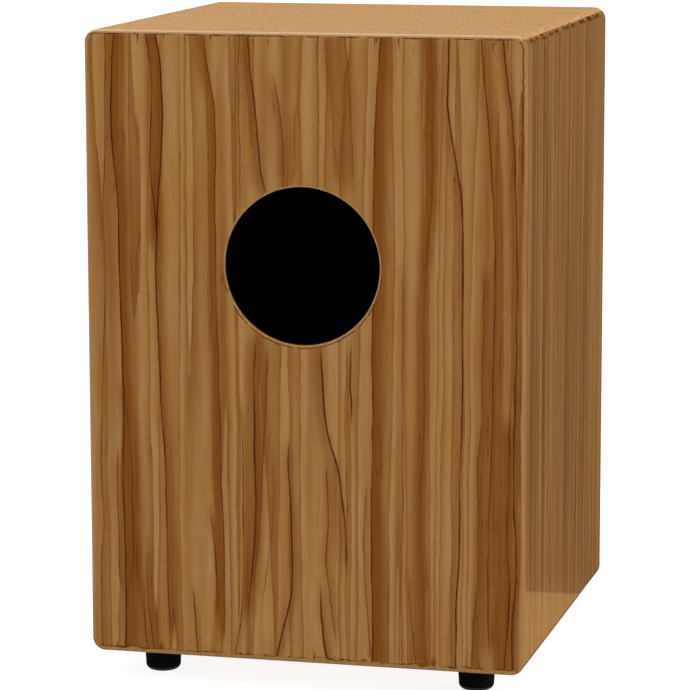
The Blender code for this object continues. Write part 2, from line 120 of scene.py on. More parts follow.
rng = random.Random(17)


# Small helpers


def srgb(red, green, blue):
    """Linear colour of an 8-bit screen colour."""
    def linear(value):
        value /= 255
        return value / 12.92 if value <= 0.04045 else ((value + 0.055) / 1.055) ** 2.4
    return (linear(red), linear(green), linear(blue), 1.0)


def add_object(name, bm, materials, smooth_angle=40):
    bmesh.ops.recalc_face_normals(bm, faces=bm.faces)
    mesh = bpy.data.meshes.new(name)
    bm.to_mesh(mesh)
    bm.free()
    for material in materials:
        mesh.materials.append(material)
    mesh.shade_smooth()
    mesh.set_sharp_from_angle(angle=math.radians(smooth_angle))
    obj = bpy.data.objects.new(name, mesh)
    bpy.context.scene.collection.objects.link(obj)
    return obj


def bake_modifiers(obj):
    """Puts the result of the object's modifiers into its mesh."""
    graph = bpy.context.evaluated_depsgraph_get()
    mesh = bpy.data.meshes.new_from_object(obj.evaluated_get(graph))
    obj.modifiers.clear()
    obj.data = mesh


def hand_over(obj, body, slot, *nodes):
    """Hangs a piece on the body that it rides on and hides the CAD nodes that it stands for. The slot, its
    finish, is not used.
    """
    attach(obj, body)
    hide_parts(*nodes)


def arc(centre, radius, first_deg, last_deg, steps):
    angles = [math.radians(first_deg + (last_deg - first_deg) * i / steps) for i in range(steps + 1)]
    return [(centre[0] + radius * math.cos(a), centre[1] + radius * math.sin(a)) for a in angles]


# Node trees


class Nodes:
    """Short calls that add nodes to a material, so that its maths reads as a formula."""

    def __init__(self, name):
        self.material = bpy.data.materials.new(name)
        self.material.use_nodes = True
        self.tree = self.material.node_tree
        self.shader = self.tree.nodes["Principled BSDF"]

    def add(self, kind, **settings):
        node = self.tree.nodes.new(kind)
        for key, value in settings.items():
            setattr(node, key, value)
        return node

    def feed(self, socket, value):
        if isinstance(value, bpy.types.NodeSocket):
            self.tree.links.new(value, socket)
        else:
            socket.default_value = value

    def math(self, operation, *values, clamp=False):
        node = self.add("ShaderNodeMath", operation=operation, use_clamp=clamp)
        for socket, value in zip(node.inputs, values):
            self.feed(socket, value)
        return node.outputs[0]

    def rest(self, value):
        return self.math("SUBTRACT", 1.0, value)

    def times(self, first, *others):
        for other in others:
            first = self.math("MULTIPLY", first, other)
        return first

    def swayed(self, base, noise, reach, clamp=False):
        """Base moved to and fro by a noise, by half of reach to each side at most."""
        return self.math("MULTIPLY_ADD", self.math("SUBTRACT", noise, 0.5), reach, base, clamp=clamp)

    def line(self, value, place, half_width, core=0.0):
        """1 where value is within core of a place, falling to 0 at half_width."""
        return self.step(self.math("ABSOLUTE", self.math("SUBTRACT", value, place)), half_width, core)

    def step(self, value, low, high, to_low=0.0, to_high=1.0):
        """Smooth step of value from low to high. Low may be above high."""
        node = self.add("ShaderNodeMapRange", interpolation_type="SMOOTHSTEP", clamp=True)
        for socket, given in zip(node.inputs, (value, low, high, to_low, to_high)):
            self.feed(socket, given)
        return node.outputs[0]

    def ramp(self, value, low, high, to_low=0.0, to_high=1.0):
        node = self.add("ShaderNodeMapRange", clamp=True)
        for socket, given in zip(node.inputs, (value, low, high, to_low, to_high)):
            self.feed(socket, given)
        return node.outputs[0]

    def millimetres(self):
        """X, Y and Z of the piece's own coordinates, in millimetres."""
        texture = self.add("ShaderNodeTexCoord").outputs["Object"]
        scaled = self.add("ShaderNodeVectorMath", operation="SCALE")
        self.feed(scaled.inputs[0], texture)
        scaled.inputs["Scale"].default_value = 1000
        parts = self.add("ShaderNodeSeparateXYZ")
        self.feed(parts.inputs[0], scaled.outputs[0])
        return tuple(parts.outputs)

    def noise(self, along, sizes, seed=0.0, detail=2.0, roughness=0.5):
        """Noise whose grain has the given size in millimetres along each of the given coordinates."""
        places = [self.math("MULTIPLY_ADD", value, 1.0 / size, seed) for value, size in zip(along, sizes)]
        joined = self.add("ShaderNodeCombineXYZ")
        for socket, place in zip(joined.inputs, places):
            self.feed(socket, place)
        node = self.add("ShaderNodeTexNoise", noise_dimensions="3D")
        self.feed(node.inputs["Vector"], joined.outputs[0])
        node.inputs["Scale"].default_value = 1.0
        node.inputs["Detail"].default_value = detail
        node.inputs["Roughness"].default_value = roughness
        return node.outputs["Fac"]

    def mix(self, factor, first, second, blend="MIX"):
        node = self.add("ShaderNodeMix", data_type="RGBA", blend_type=blend)
        self.feed(node.inputs["Factor"], factor)
        self.feed(node.inputs["A"], first)
        self.feed(node.inputs["B"], second)
        return node.outputs["Result"]

    def scale_colour(self, colour, factor):
        """Colour times a number."""
        grey = self.add("ShaderNodeCombineColor")
        for socket in grey.inputs:
            self.feed(socket, factor)
        return self.mix(1.0, colour, grey.outputs[0], "MULTIPLY")

    def bump(self, height, distance):
        """Bump from a height between 0 and 1 that stands for distance metres."""
        node = self.add("ShaderNodeBump")
        node.inputs["Strength"].default_value = 1.0
        node.inputs["Distance"].default_value = distance
        self.feed(node.inputs["Height"], height)
        self.feed(self.shader.inputs["Normal"], node.outputs[0])

    def finish(self, colour, roughness, **fixed):
        self.feed(self.shader.inputs["Base Color"], colour)
        self.feed(self.shader.inputs["Roughness"], roughness)
        for name, value in fixed.items():
            self.shader.inputs[name.replace("_", " ")].default_value = value
        return self.material


# Veneer

TAN = srgb(153, 110, 54)
PALE = srgb(158, 118, 68)
BROWN = srgb(116, 64, 6)
DARK = srgb(66, 22, 0)
EDGE_WOOD = srgb(152, 110, 60)
# Painted highlight: light colour along the round of the face plates' top edge
TOP_EDGE_HIGHLIGHT = srgb(214, 171, 114)

STAIN_SPREAD = 1.35  # how much wider and darker the brown beside a vein is than listed
STAIN_GAIN = 1.18
LINE_SPREAD = 1.15  # how much wider a vein's line is than listed
PROFILE_REACH = 20.0  # millimetres to each side that a vein's colours may spread
FADE = (0.02, 0.045)  # of the panel's height, past a vein's end and before it
STRIP = 4.5  # millimetres, width of the plain strip along a plate's edge

# The main veins of the rear panel, in millimetres: (height, place across) points from top to bottom,
# darkness and width of the line, then darkness and width of the brown to its left and to its right.
REAR_VEINS = [
    ([(445, -137), (400, -137.5), (360, -138), (330, -139.5), (280, -139), (230, -141), (160, -143),
      (120, -142.5), (90, -144), (65, -144.5), (25, -144)], 0.6, 0.7, (0.2, 5), (0.45, 7)),
    ([(451, -130.5), (400, -133), (370, -132), (340, -129), (300, -128.4), (230, -127), (160, -127),
      (90, -126.6), (60, -126), (20, -127.5)], 1.0, 0.9, (0.15, 4), (0.8, 13)),
    ([(215, -126.5), (190, -125), (160, -121.5), (120, -120.5), (85, -121), (62, -125.6)], 0.9, 0.8,
      (0.6, 6), (0.7, 8)),
    ([(165, -131), (100, -131.5), (75, -131), (62, -127)], 0.7, 0.7, (0.1, 3), (0.5, 5)),
    ([(104, -118), (80, -118), (60, -116)], 0.7, 0.7, (0.1, 3), (0.5, 5)),
    ([(95, -111), (60, -110.5), (20, -106)], 0.7, 0.7, (0.2, 3), (0.4, 5)),
    ([(70, -114.5), (45, -113), (20, -111)], 0.9, 0.9, (0.2, 3), (0.4, 4)),
    ([(451, -108), (420, -104.5), (380, -105), (360, -106), (330, -102.5), (310, -101.5), (270, -102),
      (230, -101), (190, -99.5), (160, -98), (120, -97), (60, -95.5), (30, -95)], 0.95, 0.8, (0.25, 5),
      (0.6, 7)),
    ([(451, -102), (430, -98), (400, -97), (375, -98), (345, -100.3), (300, -101.4)], 1.0, 1.0,
      (0.85, 7), (0.1, 3)),
    ([(70, -78.5), (45, -77), (22, -75)], 0.8, 0.8, (0.2, 3), (0.4, 4)),
    ([(451, -68), (430, -65.5), (415, -63), (395, -60), (370, -60), (330, -60.5), (290, -60.5),
      (230, -59.5), (170, -57.5), (110, -56.3), (30, -56)], 0.7, 0.9, (0.75, 8), (0.2, 6)),
    ([(125, -65), (90, -62.5), (60, -61), (45, -60)], 0.9, 0.8, (0.2, 3), (0.6, 5)),
    ([(451, -43), (410, -44), (350, -42.5), (325, -42.5)], 0.5, 0.7, (0.35, 5), (0.3, 6)),
    ([(200, -43), (120, -42), (80, -42), (50, -43.5), (25, -48)], 0.6, 0.7, (0.2, 3), (0.3, 4)),
    ([(451, -36.5), (425, -35.5), (405, -33), (385, -31.2), (365, -29.5), (352, -27.5), (340, -23)],
      0.95, 0.9, (0.6, 9), (0.1, 3)),
    ([(252, -31), (225, -33), (160, -33.5), (120, -34), (95, -35), (70, -37), (48, -38.5)], 0.95, 1.0,
      (0.6, 7), (0.55, 6)),
    ([(240, -24), (200, -25), (160, -28), (125, -30.5), (90, -33), (65, -36)], 0.5, 0.9, (0.6, 6),
      (0.15, 5)),
    ([(165, -21), (120, -21.5), (90, -25), (60, -28.5)], 0.45, 0.5, (0.1, 3), (0.2, 5)),
    ([(425, -19), (395, -14.8), (370, -12.6), (345, -12)], 0.6, 0.8, (0.55, 8), (0.1, 4)),
    ([(406, -2), (390, -4.8), (365, -5), (345, -7)], 0.45, 0.6, (0.3, 5), (0.2, 4)),
    ([(175, -10.3), (140, -9.5), (115, -8), (90, -8), (68, -9), (50, -12.5), (22, -19)], 0.95, 0.9,
      (0.35, 6), (0.5, 6)),
    ([(451, 16), (425, 18), (400, 21), (370, 22.5), (345, 24)], 0.35, 0.6, (0.2, 4), (0.45, 12)),
    ([(451, 30), (425, 32), (395, 34), (345, 36)], 0.45, 0.7, (0.45, 10), (0.25, 5)),
    ([(242, 13), (220, 14), (203, 14.3), (190, 15.8), (175, 19), (160, 23.5), (140, 26.5), (115, 29),
      (85, 30.5)], 0.95, 1.0, (0.45, 8), (0.2, 4)),
    ([(165, 16), (120, 17.5), (95, 16.5), (70, 19), (35, 23)], 0.55, 0.8, (0.3, 4), (0.4, 6)),
    ([(78, 12), (55, 12.7), (40, 14), (20, 17)], 0.95, 1.0, (0.2, 3), (0.5, 5)),
    ([(250, 34.5), (215, 33.6), (203, 34.6), (185, 34)], 0.85, 0.9, (0.2, 4), (0.3, 5)),
    ([(451, 55), (420, 52.5), (390, 51), (350, 50), (300, 49.5), (230, 48.8), (160, 48.6), (90, 48),
      (20, 49)], 0.85, 0.9, (0.15, 4), (0.85, 11)),
    ([(150, 45), (100, 42.5), (60, 44.5), (25, 48)], 0.5, 0.6, (0.1, 3), (0.3, 5)),
    ([(300, 69), (160, 69), (110, 68.6), (60, 67.4), (20, 67)], 0.5, 0.7, (0.2, 4), (0.2, 4)),
    ([(90, 73), (60, 75), (20, 79)], 0.5, 0.6, (0.1, 3), (0.2, 4)),
    ([(451, 87.5), (400, 90), (350, 90), (310, 86.5), (260, 84), (200, 84.5), (160, 83), (120, 82.5),
      (80, 84), (20, 86)], 0.45, 1.4, (0.75, 8), (0.6, 5)),
    ([(451, 101), (410, 99.8), (390, 101.5), (370, 104.8), (352, 108), (325, 109.7), (290, 110),
      (200, 109.8), (120, 108.8), (70, 107.2), (20, 106)], 0.95, 0.9, (0.45, 7), (0.1, 3)),
    ([(451, 122), (420, 124), (390, 127), (360, 129.5), (320, 131.3), (260, 131.8), (160, 130),
      (100, 128), (30, 130)], 0.7, 0.9, (0.45, 8), (0.6, 10)),
    ([(300, 125), (250, 124.5), (200, 124), (160, 121), (90, 121), (60, 119.5), (20, 116)], 0.6, 0.7,
      (0.2, 4), (0.6, 10)),
    ([(451, 137), (425, 139.5), (400, 143), (360, 145), (250, 146.5), (200, 146)], 0.9, 0.8, (0.6, 6),
      (0.45, 5)),
    ([(200, 143), (150, 142.5), (110, 141.5), (80, 143.5), (20, 140)], 0.9, 0.9, (0.75, 12), (0.6, 6)),
    ([(220, 147), (150, 146), (90, 147.5), (50, 145), (20, 146)], 0.9, 0.9, (0.4, 4), (0.6, 4)),
]


def edge_distance(nodes, across, up):
    """How far inside the plate's rounded outline a point of it is, in millimetres."""
    radius = CORNER_RADIUS * 1000
    u = nodes.math("SUBTRACT", nodes.math("ABSOLUTE", across), HALF_WIDTH * 1000 - radius)
    v = nodes.math("ABSOLUTE", nodes.math("SUBTRACT", up, BODY_MIDDLE * 1000))
    v = nodes.math("SUBTRACT", v, HALF_HEIGHT * 1000 - radius)
    outside_u = nodes.math("MAXIMUM", u, 0.0)
    outside_v = nodes.math("MAXIMUM", v, 0.0)
    squared_v = nodes.math("MULTIPLY", outside_v, outside_v)
    outside = nodes.math("SQRT", nodes.math("MULTIPLY_ADD", outside_u, outside_u, squared_v))
    inside = nodes.math("MINIMUM", nodes.math("MAXIMUM", u, v), 0.0)
    return nodes.math("SUBTRACT", radius, nodes.math("ADD", outside, inside)), u, v


def set_curve(curve, places):
    for index, place in enumerate(sorted(places)):
        point = curve.points[index] if index < 2 else curve.points.new(*place)
        point.location = place
        point.handle_type = "AUTO_CLAMPED"


def vein_strength(heights):
    """Points of a curve that is 1 along a vein and 0 past any end that is short of the panel's edge."""
    past, before = FADE
    bottom, top = min(heights), max(heights)
    strength = [(0, 1), (1, 1)]
    if bottom > past:
        strength = [(0, 0), (bottom - past, 0), (bottom + before, 1), (1, 1)]
    if top < 1 - past:
        strength = strength[:-1] + [(top - before, 1), (top + past, 0), (1, 0)]
    return strength


def vein_course(nodes, points, height):
    """Two curves of the height: a vein's place across the panel, from 0 to 1, and its strength."""
    low, span, half = BODY_BOTTOM * 1000, 2 * HALF_HEIGHT * 1000, HALF_WIDTH * 1000
    node = nodes.add("ShaderNodeVectorCurve")
    node.mapping.extend = "HORIZONTAL"
    set_curve(node.mapping.curves[0], [((z - low) / span, (x + half) / (2 * half)) for z, x in points])
    strength = vein_strength([(z - low) / span for z, _ in points])
    set_curve(node.mapping.curves[1], strength)
    node.mapping.update()
    nodes.feed(node.inputs["Vector"], height)
    parts = nodes.add("ShaderNodeSeparateXYZ")
    nodes.feed(parts.inputs[0], node.outputs[0])
    return parts.outputs[0], parts.outputs[1], len(strength) > 2


def vein_profile(nodes, distance, darkness, width, left, right):
    """What a vein leaves of the light wood about it: the line in red, the brown beside it in green."""
    (left_dark, left_reach), (right_dark, right_reach) = left, right
    left_rest = 1 - min(1.0, STAIN_GAIN * left_dark)
    right_rest = 1 - min(1.0, STAIN_GAIN * right_dark)
    line = LINE_SPREAD * width
    stops = [
        (-PROFILE_REACH, 1, 1), (-STAIN_SPREAD * left_reach, 1, 1), (-line, 1, left_rest),
        (0, 1 - darkness, min(left_rest, right_rest)),
        (line, 1, right_rest), (STAIN_SPREAD * right_reach, 1, 1), (PROFILE_REACH, 1, 1),
    ]
    node = nodes.add("ShaderNodeValToRGB")
    node.color_ramp.interpolation = "EASE"
    elements = node.color_ramp.elements
    for index, (offset, line_rest, stain_rest) in enumerate(stops):
        position = min(1.0, max(0.0, 0.5 + offset / (2 * PROFILE_REACH)))
        element = elements[0] if index == 0 else elements.new(position)
        element.position = position
        element.color = (line_rest, stain_rest, 1, 1)
    elements.remove(elements[-1])
    nodes.feed(node.inputs[0], distance)
    return node.outputs[0]


def vein_pattern(nodes, veins, across, up):
    """(darkness of the vein lines, brown stain beside them), each from 0 to 1."""
    low, span, half = BODY_BOTTOM * 1000, 2 * HALF_HEIGHT * 1000, HALF_WIDTH * 1000
    scaled = nodes.math("MULTIPLY_ADD", up, 1 / span, -low / span)
    height = nodes.add("ShaderNodeCombineXYZ")
    for socket in height.inputs:
        nodes.feed(socket, scaled)
    shared = nodes.math("MULTIPLY_ADD", across, 0.5 / PROFILE_REACH, 0.5 + half / (2 * PROFILE_REACH))
    rest = None
    for points, *kind in veins:
        place, strength, fades = vein_course(nodes, points, height.outputs[0])
        distance = nodes.math("MULTIPLY_ADD", place, -half / PROFILE_REACH, shared)
        profile = vein_profile(nodes, distance, *kind)
        if fades:
            profile = nodes.mix(strength, (1, 1, 1, 1), profile)
        rest = profile if rest is None else nodes.mix(1.0, rest, profile, "MULTIPLY")
    parts = nodes.add("ShaderNodeSeparateColor")
    nodes.feed(parts.inputs[0], rest)
    patchy = nodes.ramp(nodes.noise((across, up), (9, 45), seed=3.1), 0.3, 0.55, 0.5, 1.0)
    return nodes.times(nodes.rest(parts.outputs[0]), patchy), nodes.rest(parts.outputs[1])


def burnt(nodes, colour, amount):
    """Colour turned to brown, and then to the dark of a grain line, as amount goes from 0 to 1."""
    browned = nodes.mix(nodes.ramp(amount, 0.0, 0.5), colour, BROWN)
    return nodes.mix(nodes.ramp(amount, 0.25, 0.95), browned, DARK)


def hole_dashes(nodes, x, z):
    """Broken dark line just outside the lower part of the sound hole."""
    up = nodes.math("SUBTRACT", z, HOLE_CENTRE_Z * 1000)
    radius = nodes.math("SQRT", nodes.math("MULTIPLY_ADD", x, x, nodes.math("MULTIPLY", up, up)))
    outside = nodes.math("SUBTRACT", radius, (HOLE_RADIUS + HOLE_ROUND) * 1000 + 0.9)
    outside = nodes.swayed(outside, nodes.noise((x, z), (5, 5), seed=63, detail=3.0), 2.0)
    broken = nodes.step(nodes.noise((x, z), (8, 8), seed=66, detail=2.0), 0.46, 0.54)
    return nodes.times(nodes.line(outside, 0.0, 0.55, 0.1), broken, nodes.step(up, 25, -25, 0.0, 0.85))


def drawn_veins(seed):
    """Veins for another sheet of the same veneer, each of a kind found on the rear panel."""
    draw = random.Random(seed)
    heights = (451, 400, 345, 290, 230, 170, 110, 60, 20)
    veins = []
    place = -146.0
    while place < 146:
        drift = draw.uniform(-8, 8)
        first = draw.choice((0, 0, 0, 2, 4, 6))
        last = len(heights) if first else draw.choice((5, 7, 9, 9, 9))
        points = []
        for z in heights[first:last]:
            bend = drift * (z - BODY_MIDDLE * 1000) / (HALF_HEIGHT * 1000)
            points.append((z, place + bend + draw.uniform(-1.6, 1.6)))
        veins.append((points, *draw.choice(REAR_VEINS)[1:]))
        place += draw.uniform(3.5, 12)
    return veins


def streaked(nodes, stain, fold, streaks):
    """Stain with the browner side of each fold of the grain, and with fine streaks."""
    shade = nodes.math("POWER", nodes.rest(fold), 2.0)
    light = nodes.rest(nodes.times(shade, 0.7))
    return nodes.swayed(nodes.rest(nodes.times(nodes.rest(stain), light)), streaks, 0.6, clamp=True)


def hairlines(nodes, place, fold, stain, seed):
    """Fine dark lines along some folds, and more of them in the brown."""
    where = nodes.step(nodes.noise(place, (30, 110), seed=seed + 25), 0.48, 0.64)
    on_folds = nodes.times(nodes.line(fold, 0.985, 0.045), where, 0.5)
    hair = nodes.noise(place, (4.5, 210), seed=seed + 27, detail=2.0)
    hair = nodes.step(nodes.math("PINGPONG", nodes.times(hair, 5.0), 0.5), 0.05, 0.0)
    return nodes.math("MAXIMUM", on_folds, nodes.times(hair, nodes.step(stain, 0.25, 0.75, 0.0, 0.5)))


def edge_fields(nodes, x, z, streaks, seed):
    """What the strip along a plate's edge is drawn from: millimetres inwards, and shares from 0 to 1."""
    inset, u, v = edge_distance(nodes, x, z)
    at_top = nodes.step(z, 200, 300)
    chips = nodes.noise((x, z), (9, 3), seed=seed + 40, detail=4.0, roughness=0.65)
    border = nodes.swayed(inset, chips, nodes.math("MULTIPLY_ADD", at_top, -5.6, 7.0))
    border = nodes.math("MULTIPLY_ADD", at_top, 2.0, border)
    along_ends = nodes.step(nodes.math("SUBTRACT", v, u), 0.0, 3.0)
    side_border = nodes.swayed(inset, streaks, 7.0)
    side_border = nodes.math("ADD", side_border, nodes.step(x, -10, 10, 0.0, 2.6))
    return SimpleNamespace(inset=inset, at_top=at_top, chips=chips, border=border, side_border=side_border,
                           along_ends=along_ends, along_sides=nodes.rest(along_ends))


def edge_strip_and_highlight(nodes, colour, edge, x, z, seed):
    """Colour with the plain strip along the plate's edge, and a painted highlight along its top edge."""
    on_sides = nodes.times(nodes.step(edge.side_border, STRIP + 0.1, STRIP - 1.5), edge.along_sides, 0.85)
    on_ends = nodes.times(nodes.step(edge.border, STRIP - 0.1, STRIP - 0.9), edge.along_ends)
    tone = nodes.ramp(nodes.noise((x, z), (1.3, 110), seed=seed + 44), 0.3, 0.7, 0.74, 1.12)
    strip = nodes.math("MAXIMUM", on_sides, on_ends)
    colour = nodes.mix(strip, colour, nodes.scale_colour(EDGE_WOOD, tone))
    # Painted highlight: the lip is a light colour on the top edge's round, where light from above catches it
    lip = nodes.times(nodes.step(edge.inset, 1.5, 0.5, 0.0, 0.9), edge.along_ends, edge.at_top)
    return nodes.mix(lip, colour, TOP_EDGE_HIGHLIGHT)


def edge_marks(nodes, colour, edge, across, x, z, wave, seed):
    """Colour with the dark line within the strip, and short dark drips that hang from it."""
    rim_width = nodes.ramp(nodes.noise((x, z), (4, 4), seed=seed + 50), 0.3, 0.7, 0.3, 1.0)
    broken = nodes.step(nodes.noise((x, z), (14, 9), seed=seed + 48), 0.4, 0.54)
    rim = nodes.times(nodes.line(edge.border, STRIP, rim_width), broken, edge.along_ends, 0.9)
    seam = nodes.line(nodes.swayed(edge.side_border, edge.chips, 1.4), STRIP + 0.9, 0.9, 0.1)
    seam = nodes.times(seam, edge.along_sides, nodes.step(x, -10, 10, 0.15, 0.5))
    seam = nodes.times(seam, nodes.step(wave, 0.4, 0.6, 0.4, 1.0))
    colour = burnt(nodes, colour, nodes.math("MAXIMUM", rim, seam))
    drips = nodes.step(nodes.noise((across, z), (3.0, 19), seed=seed + 56, detail=2.0), 0.6, 0.68)
    near = nodes.times(nodes.step(edge.inset, 16, 3, 0.0, 0.5), nodes.step(edge.border, 3.9, 4.7))
    return burnt(nodes, colour, nodes.times(drips, near, edge.along_ends))


def figured_veneer(name, veins, seed, hole=False):
    """Lacquered veneer of a face plate, with dark veins and brown beside them."""
    nodes = Nodes(name)
    x, _, z = nodes.millimetres()
    wave = nodes.noise((x, z), (26, 85), seed=seed, detail=1.0)
    ripple = nodes.noise((x, z), (6, 20), seed=seed + 5, detail=4.0, roughness=0.62)
    across = nodes.swayed(nodes.swayed(x, wave, 4.0), ripple, 2.0)
    place = (across, z)

    lines, stain = vein_pattern(nodes, veins, across, z)
    folds = nodes.noise(place, (19, 1300), seed=seed + 9, detail=1.0)
    fold = nodes.math("FRACT", nodes.times(folds, 8.0))
    streaks = nodes.noise(place, (3.4, 190), seed=seed + 14, detail=3.0, roughness=0.6)
    stain = streaked(nodes, stain, fold, streaks)
    marks = nodes.math("MAXIMUM", lines, hairlines(nodes, place, fold, stain, seed))

    clouds = nodes.ramp(nodes.noise(place, (10, 75), seed=seed + 60, detail=3.0), 0.38, 0.62)
    colour = nodes.mix(stain, nodes.mix(clouds, TAN, PALE), BROWN)
    colour = burnt(nodes, colour, marks)
    fibre = nodes.noise(place, (0.5, 26), seed=seed + 31, detail=2.0)
    colour = nodes.scale_colour(colour, nodes.ramp(fibre, 0.3, 0.7, 0.93, 1.07))
    edge = edge_fields(nodes, x, z, streaks, seed)
    colour = edge_strip_and_highlight(nodes, colour, edge, x, z, seed)
    colour = edge_marks(nodes, colour, edge, across, x, z, wave, seed)
    if hole:
        colour = burnt(nodes, colour, hole_dashes(nodes, x, z))

    nodes.bump(fibre, 0.00002)
    gloss = nodes.ramp(nodes.noise((x, z), (18, 60), seed=seed + 52), 0.3, 0.7, 0.34, 0.44)
    return nodes.finish(colour, gloss, Specular_IOR_Level=0.1, Coat_Weight=0.35, Coat_Roughness=0.08)


def rim_wood():
    """Light wood laid bare on the round edge of the sound hole."""
    nodes = Nodes("hole_rim_wood")
    x, _, z = nodes.millimetres()
    grain = nodes.noise((x, z), (1.2, 14), seed=61)
    colour = nodes.scale_colour(srgb(164, 120, 70), nodes.ramp(grain, 0.3, 0.7, 0.72, 1.12))
    return nodes.finish(colour, 0.4, Specular_IOR_Level=0.3, Coat_Weight=0.4, Coat_Roughness=0.15)


def side_veneer():
    """Straight grain that runs up the sides, with the edge strips of lighter wood."""
    nodes = Nodes("side_veneer")
    _, y, z = nodes.millimetres()
    sway = nodes.noise((y, z), (60, 260), seed=70, detail=1.0)
    across = nodes.swayed(y, sway, 5.0)
    broad = nodes.noise((across, z), (12, 900), seed=73, detail=1.0)
    lines = nodes.noise((across, z), (5.5, 500), seed=76, detail=3.0, roughness=0.65)
    fibre = nodes.noise((across, z), (0.9, 45), seed=79, detail=2.0)
    tone = nodes.swayed(nodes.ramp(lines, 0.38, 0.62), broad, 0.6, clamp=True)
    colour = nodes.mix(tone, srgb(122, 78, 38), srgb(160, 115, 64))
    thin = nodes.step(nodes.noise((across, z), (6.0, 420), seed=83, detail=1.0), 0.4, 0.33)
    colour = nodes.mix(nodes.math("MULTIPLY", thin, 0.22), colour, srgb(96, 56, 22))
    colour = nodes.scale_colour(colour, nodes.ramp(fibre, 0.3, 0.7, 0.89, 1.1))

    chips = nodes.noise((y, z), (5, 3), seed=87, detail=3.0, roughness=0.65)
    from_top = nodes.math("SUBTRACT", BODY_TOP * 1000, z)
    border = nodes.swayed(from_top, chips, 9.0)
    edge_tone = nodes.ramp(nodes.noise((y, z), (5, 1.2), seed=90, detail=3.0), 0.35, 0.65, 0.62, 1.1)
    light = nodes.scale_colour(srgb(176, 132, 82), edge_tone)
    colour = nodes.mix(nodes.step(border, STRIP + 0.1, STRIP - 0.9), colour, light)
    rim = nodes.line(border, STRIP - 0.1, 2.2, 0.2)
    broken = nodes.step(nodes.noise((y, z), (16, 8), seed=93), 0.4, 0.56)
    colour = burnt(nodes, colour, nodes.times(rim, broken, 0.55))
    nodes.bump(lines, 0.00002)
    return nodes.finish(colour, 0.38, Specular_IOR_Level=0.1, Coat_Weight=0.45, Coat_Roughness=0.05)


def seat_veneer():
    """Light wood whose fine pores run from side to side."""
    nodes = Nodes("seat_veneer")
    x, y, _ = nodes.millimetres()
    flecks = nodes.noise((x, y), (4.5, 1.1), seed=100, detail=2.0, roughness=0.6)
    bands = nodes.noise((x, y), (260, 9), seed=104, detail=3.0)
    blots = nodes.noise((x, y), (3.2, 4.5), seed=108, detail=2.0, roughness=0.6)
    colour = nodes.mix(nodes.ramp(bands, 0.3, 0.7), srgb(205, 154, 95), srgb(214, 166, 108))
    colour = nodes.mix(nodes.step(flecks, 0.46, 0.3, 0.0, 0.75), colour, srgb(158, 110, 60))
    colour = nodes.mix(nodes.step(blots, 0.48, 0.3, 0.0, 0.5), colour, srgb(160, 112, 60))
    mottle = nodes.noise((x, y), (1.7, 14), seed=112, detail=2.0, roughness=0.6)
    colour = nodes.scale_colour(colour, nodes.ramp(mottle, 0.36, 0.64, 0.84, 1.13))
    colour = nodes.scale_colour(colour, nodes.ramp(flecks, 0.35, 0.65, 0.95, 1.07))
    nodes.bump(flecks, 0.00008)
    return nodes.finish(colour, 0.42, Specular_IOR_Level=0.2, Coat_Weight=0.15, Coat_Roughness=0.25)


def base_board():
    nodes = Nodes("base_board")
    x, y, _ = nodes.millimetres()
    grain = nodes.noise((x, y), (2.5, 220), seed=110, detail=4.0, roughness=0.65)
    broad = nodes.noise((x, y), (26, 300), seed=113, detail=2.0)
    tone = nodes.swayed(nodes.ramp(grain, 0.35, 0.65), broad, 0.8, clamp=True)
    colour = nodes.mix(tone, srgb(120, 80, 42), srgb(160, 117, 70))
    nodes.bump(grain, 0.00004)
    return nodes.finish(colour, 0.5, Specular_IOR_Level=0.3, Coat_Weight=0.15, Coat_Roughness=0.3)


def black_paint(name, grain_axes, sizes):
    """Matt black paint thin enough for the grain to show through."""
    nodes = Nodes(name)
    coordinates = nodes.millimetres()
    along = [coordinates["XYZ".index(axis)] for axis in grain_axes]
    grain = nodes.noise(along, sizes, seed=120, detail=3.0, roughness=0.6)
    dark, light = (0.004, 0.0038, 0.0034, 1), (0.009, 0.0085, 0.0075, 1)
    colour = nodes.mix(nodes.ramp(grain, 0.3, 0.7), dark, light)
    nodes.bump(grain, 0.00006)
    return nodes.finish(colour, nodes.ramp(grain, 0.3, 0.7, 0.75, 0.9), Specular_IOR_Level=0.15)


def rubber():
    nodes = Nodes("rubber")
    x, y, z = nodes.millimetres()
    grain = nodes.noise((x, y, z), (0.5, 0.5, 0.5), seed=130, detail=3.0)
    dust = nodes.noise((x, y, z), (6, 6, 4), seed=134, detail=3.0)
    clean, dusty = (0.0022, 0.002, 0.0016, 1), (0.006, 0.0055, 0.005, 1)
    colour = nodes.mix(nodes.step(dust, 0.45, 0.75, 0.0, 0.5), clean, dusty)
    nodes.bump(grain, 0.00006)
    return nodes.finish(colour, nodes.ramp(dust, 0.3, 0.7, 0.55, 0.7), Specular_IOR_Level=0.15)


def metal(name, dark, light, rough, seed):
    """Worn metal: cloudy plating with fine scratches."""
    nodes = Nodes(name)
    x, y, z = nodes.millimetres()
    clouds = nodes.noise((x, y, z), (4, 4, 4), seed=seed, detail=3.0)
    scratches = nodes.noise((x, y, z), (0.25, 0.25, 2.5), seed=seed + 3, detail=2.0)
    wear = nodes.swayed(clouds, scratches, 0.7)
    colour = nodes.mix(nodes.ramp(wear, 0.3, 0.75), dark, light)
    nodes.bump(scratches, 0.00001)
    return nodes.finish(colour, nodes.ramp(wear, 0.3, 0.7, *rough), Metallic=1.0)


def nylon():
    nodes = Nodes("nylon")
    x, y, z = nodes.millimetres()
    grain = nodes.noise((x, y, z), (0.35, 0.35, 0.35), seed=160, detail=2.0)
    clouds = nodes.noise((x, y, z), (7, 7, 7), seed=163, detail=2.0)
    colour = nodes.mix(nodes.ramp(clouds, 0.3, 0.7), (0.010, 0.010, 0.010, 1), (0.020, 0.020, 0.019, 1))
    nodes.bump(grain, 0.00003)
    return nodes.finish(colour, nodes.ramp(clouds, 0.3, 0.7, 0.42, 0.58), Specular_IOR_Level=0.4)


# Meshes


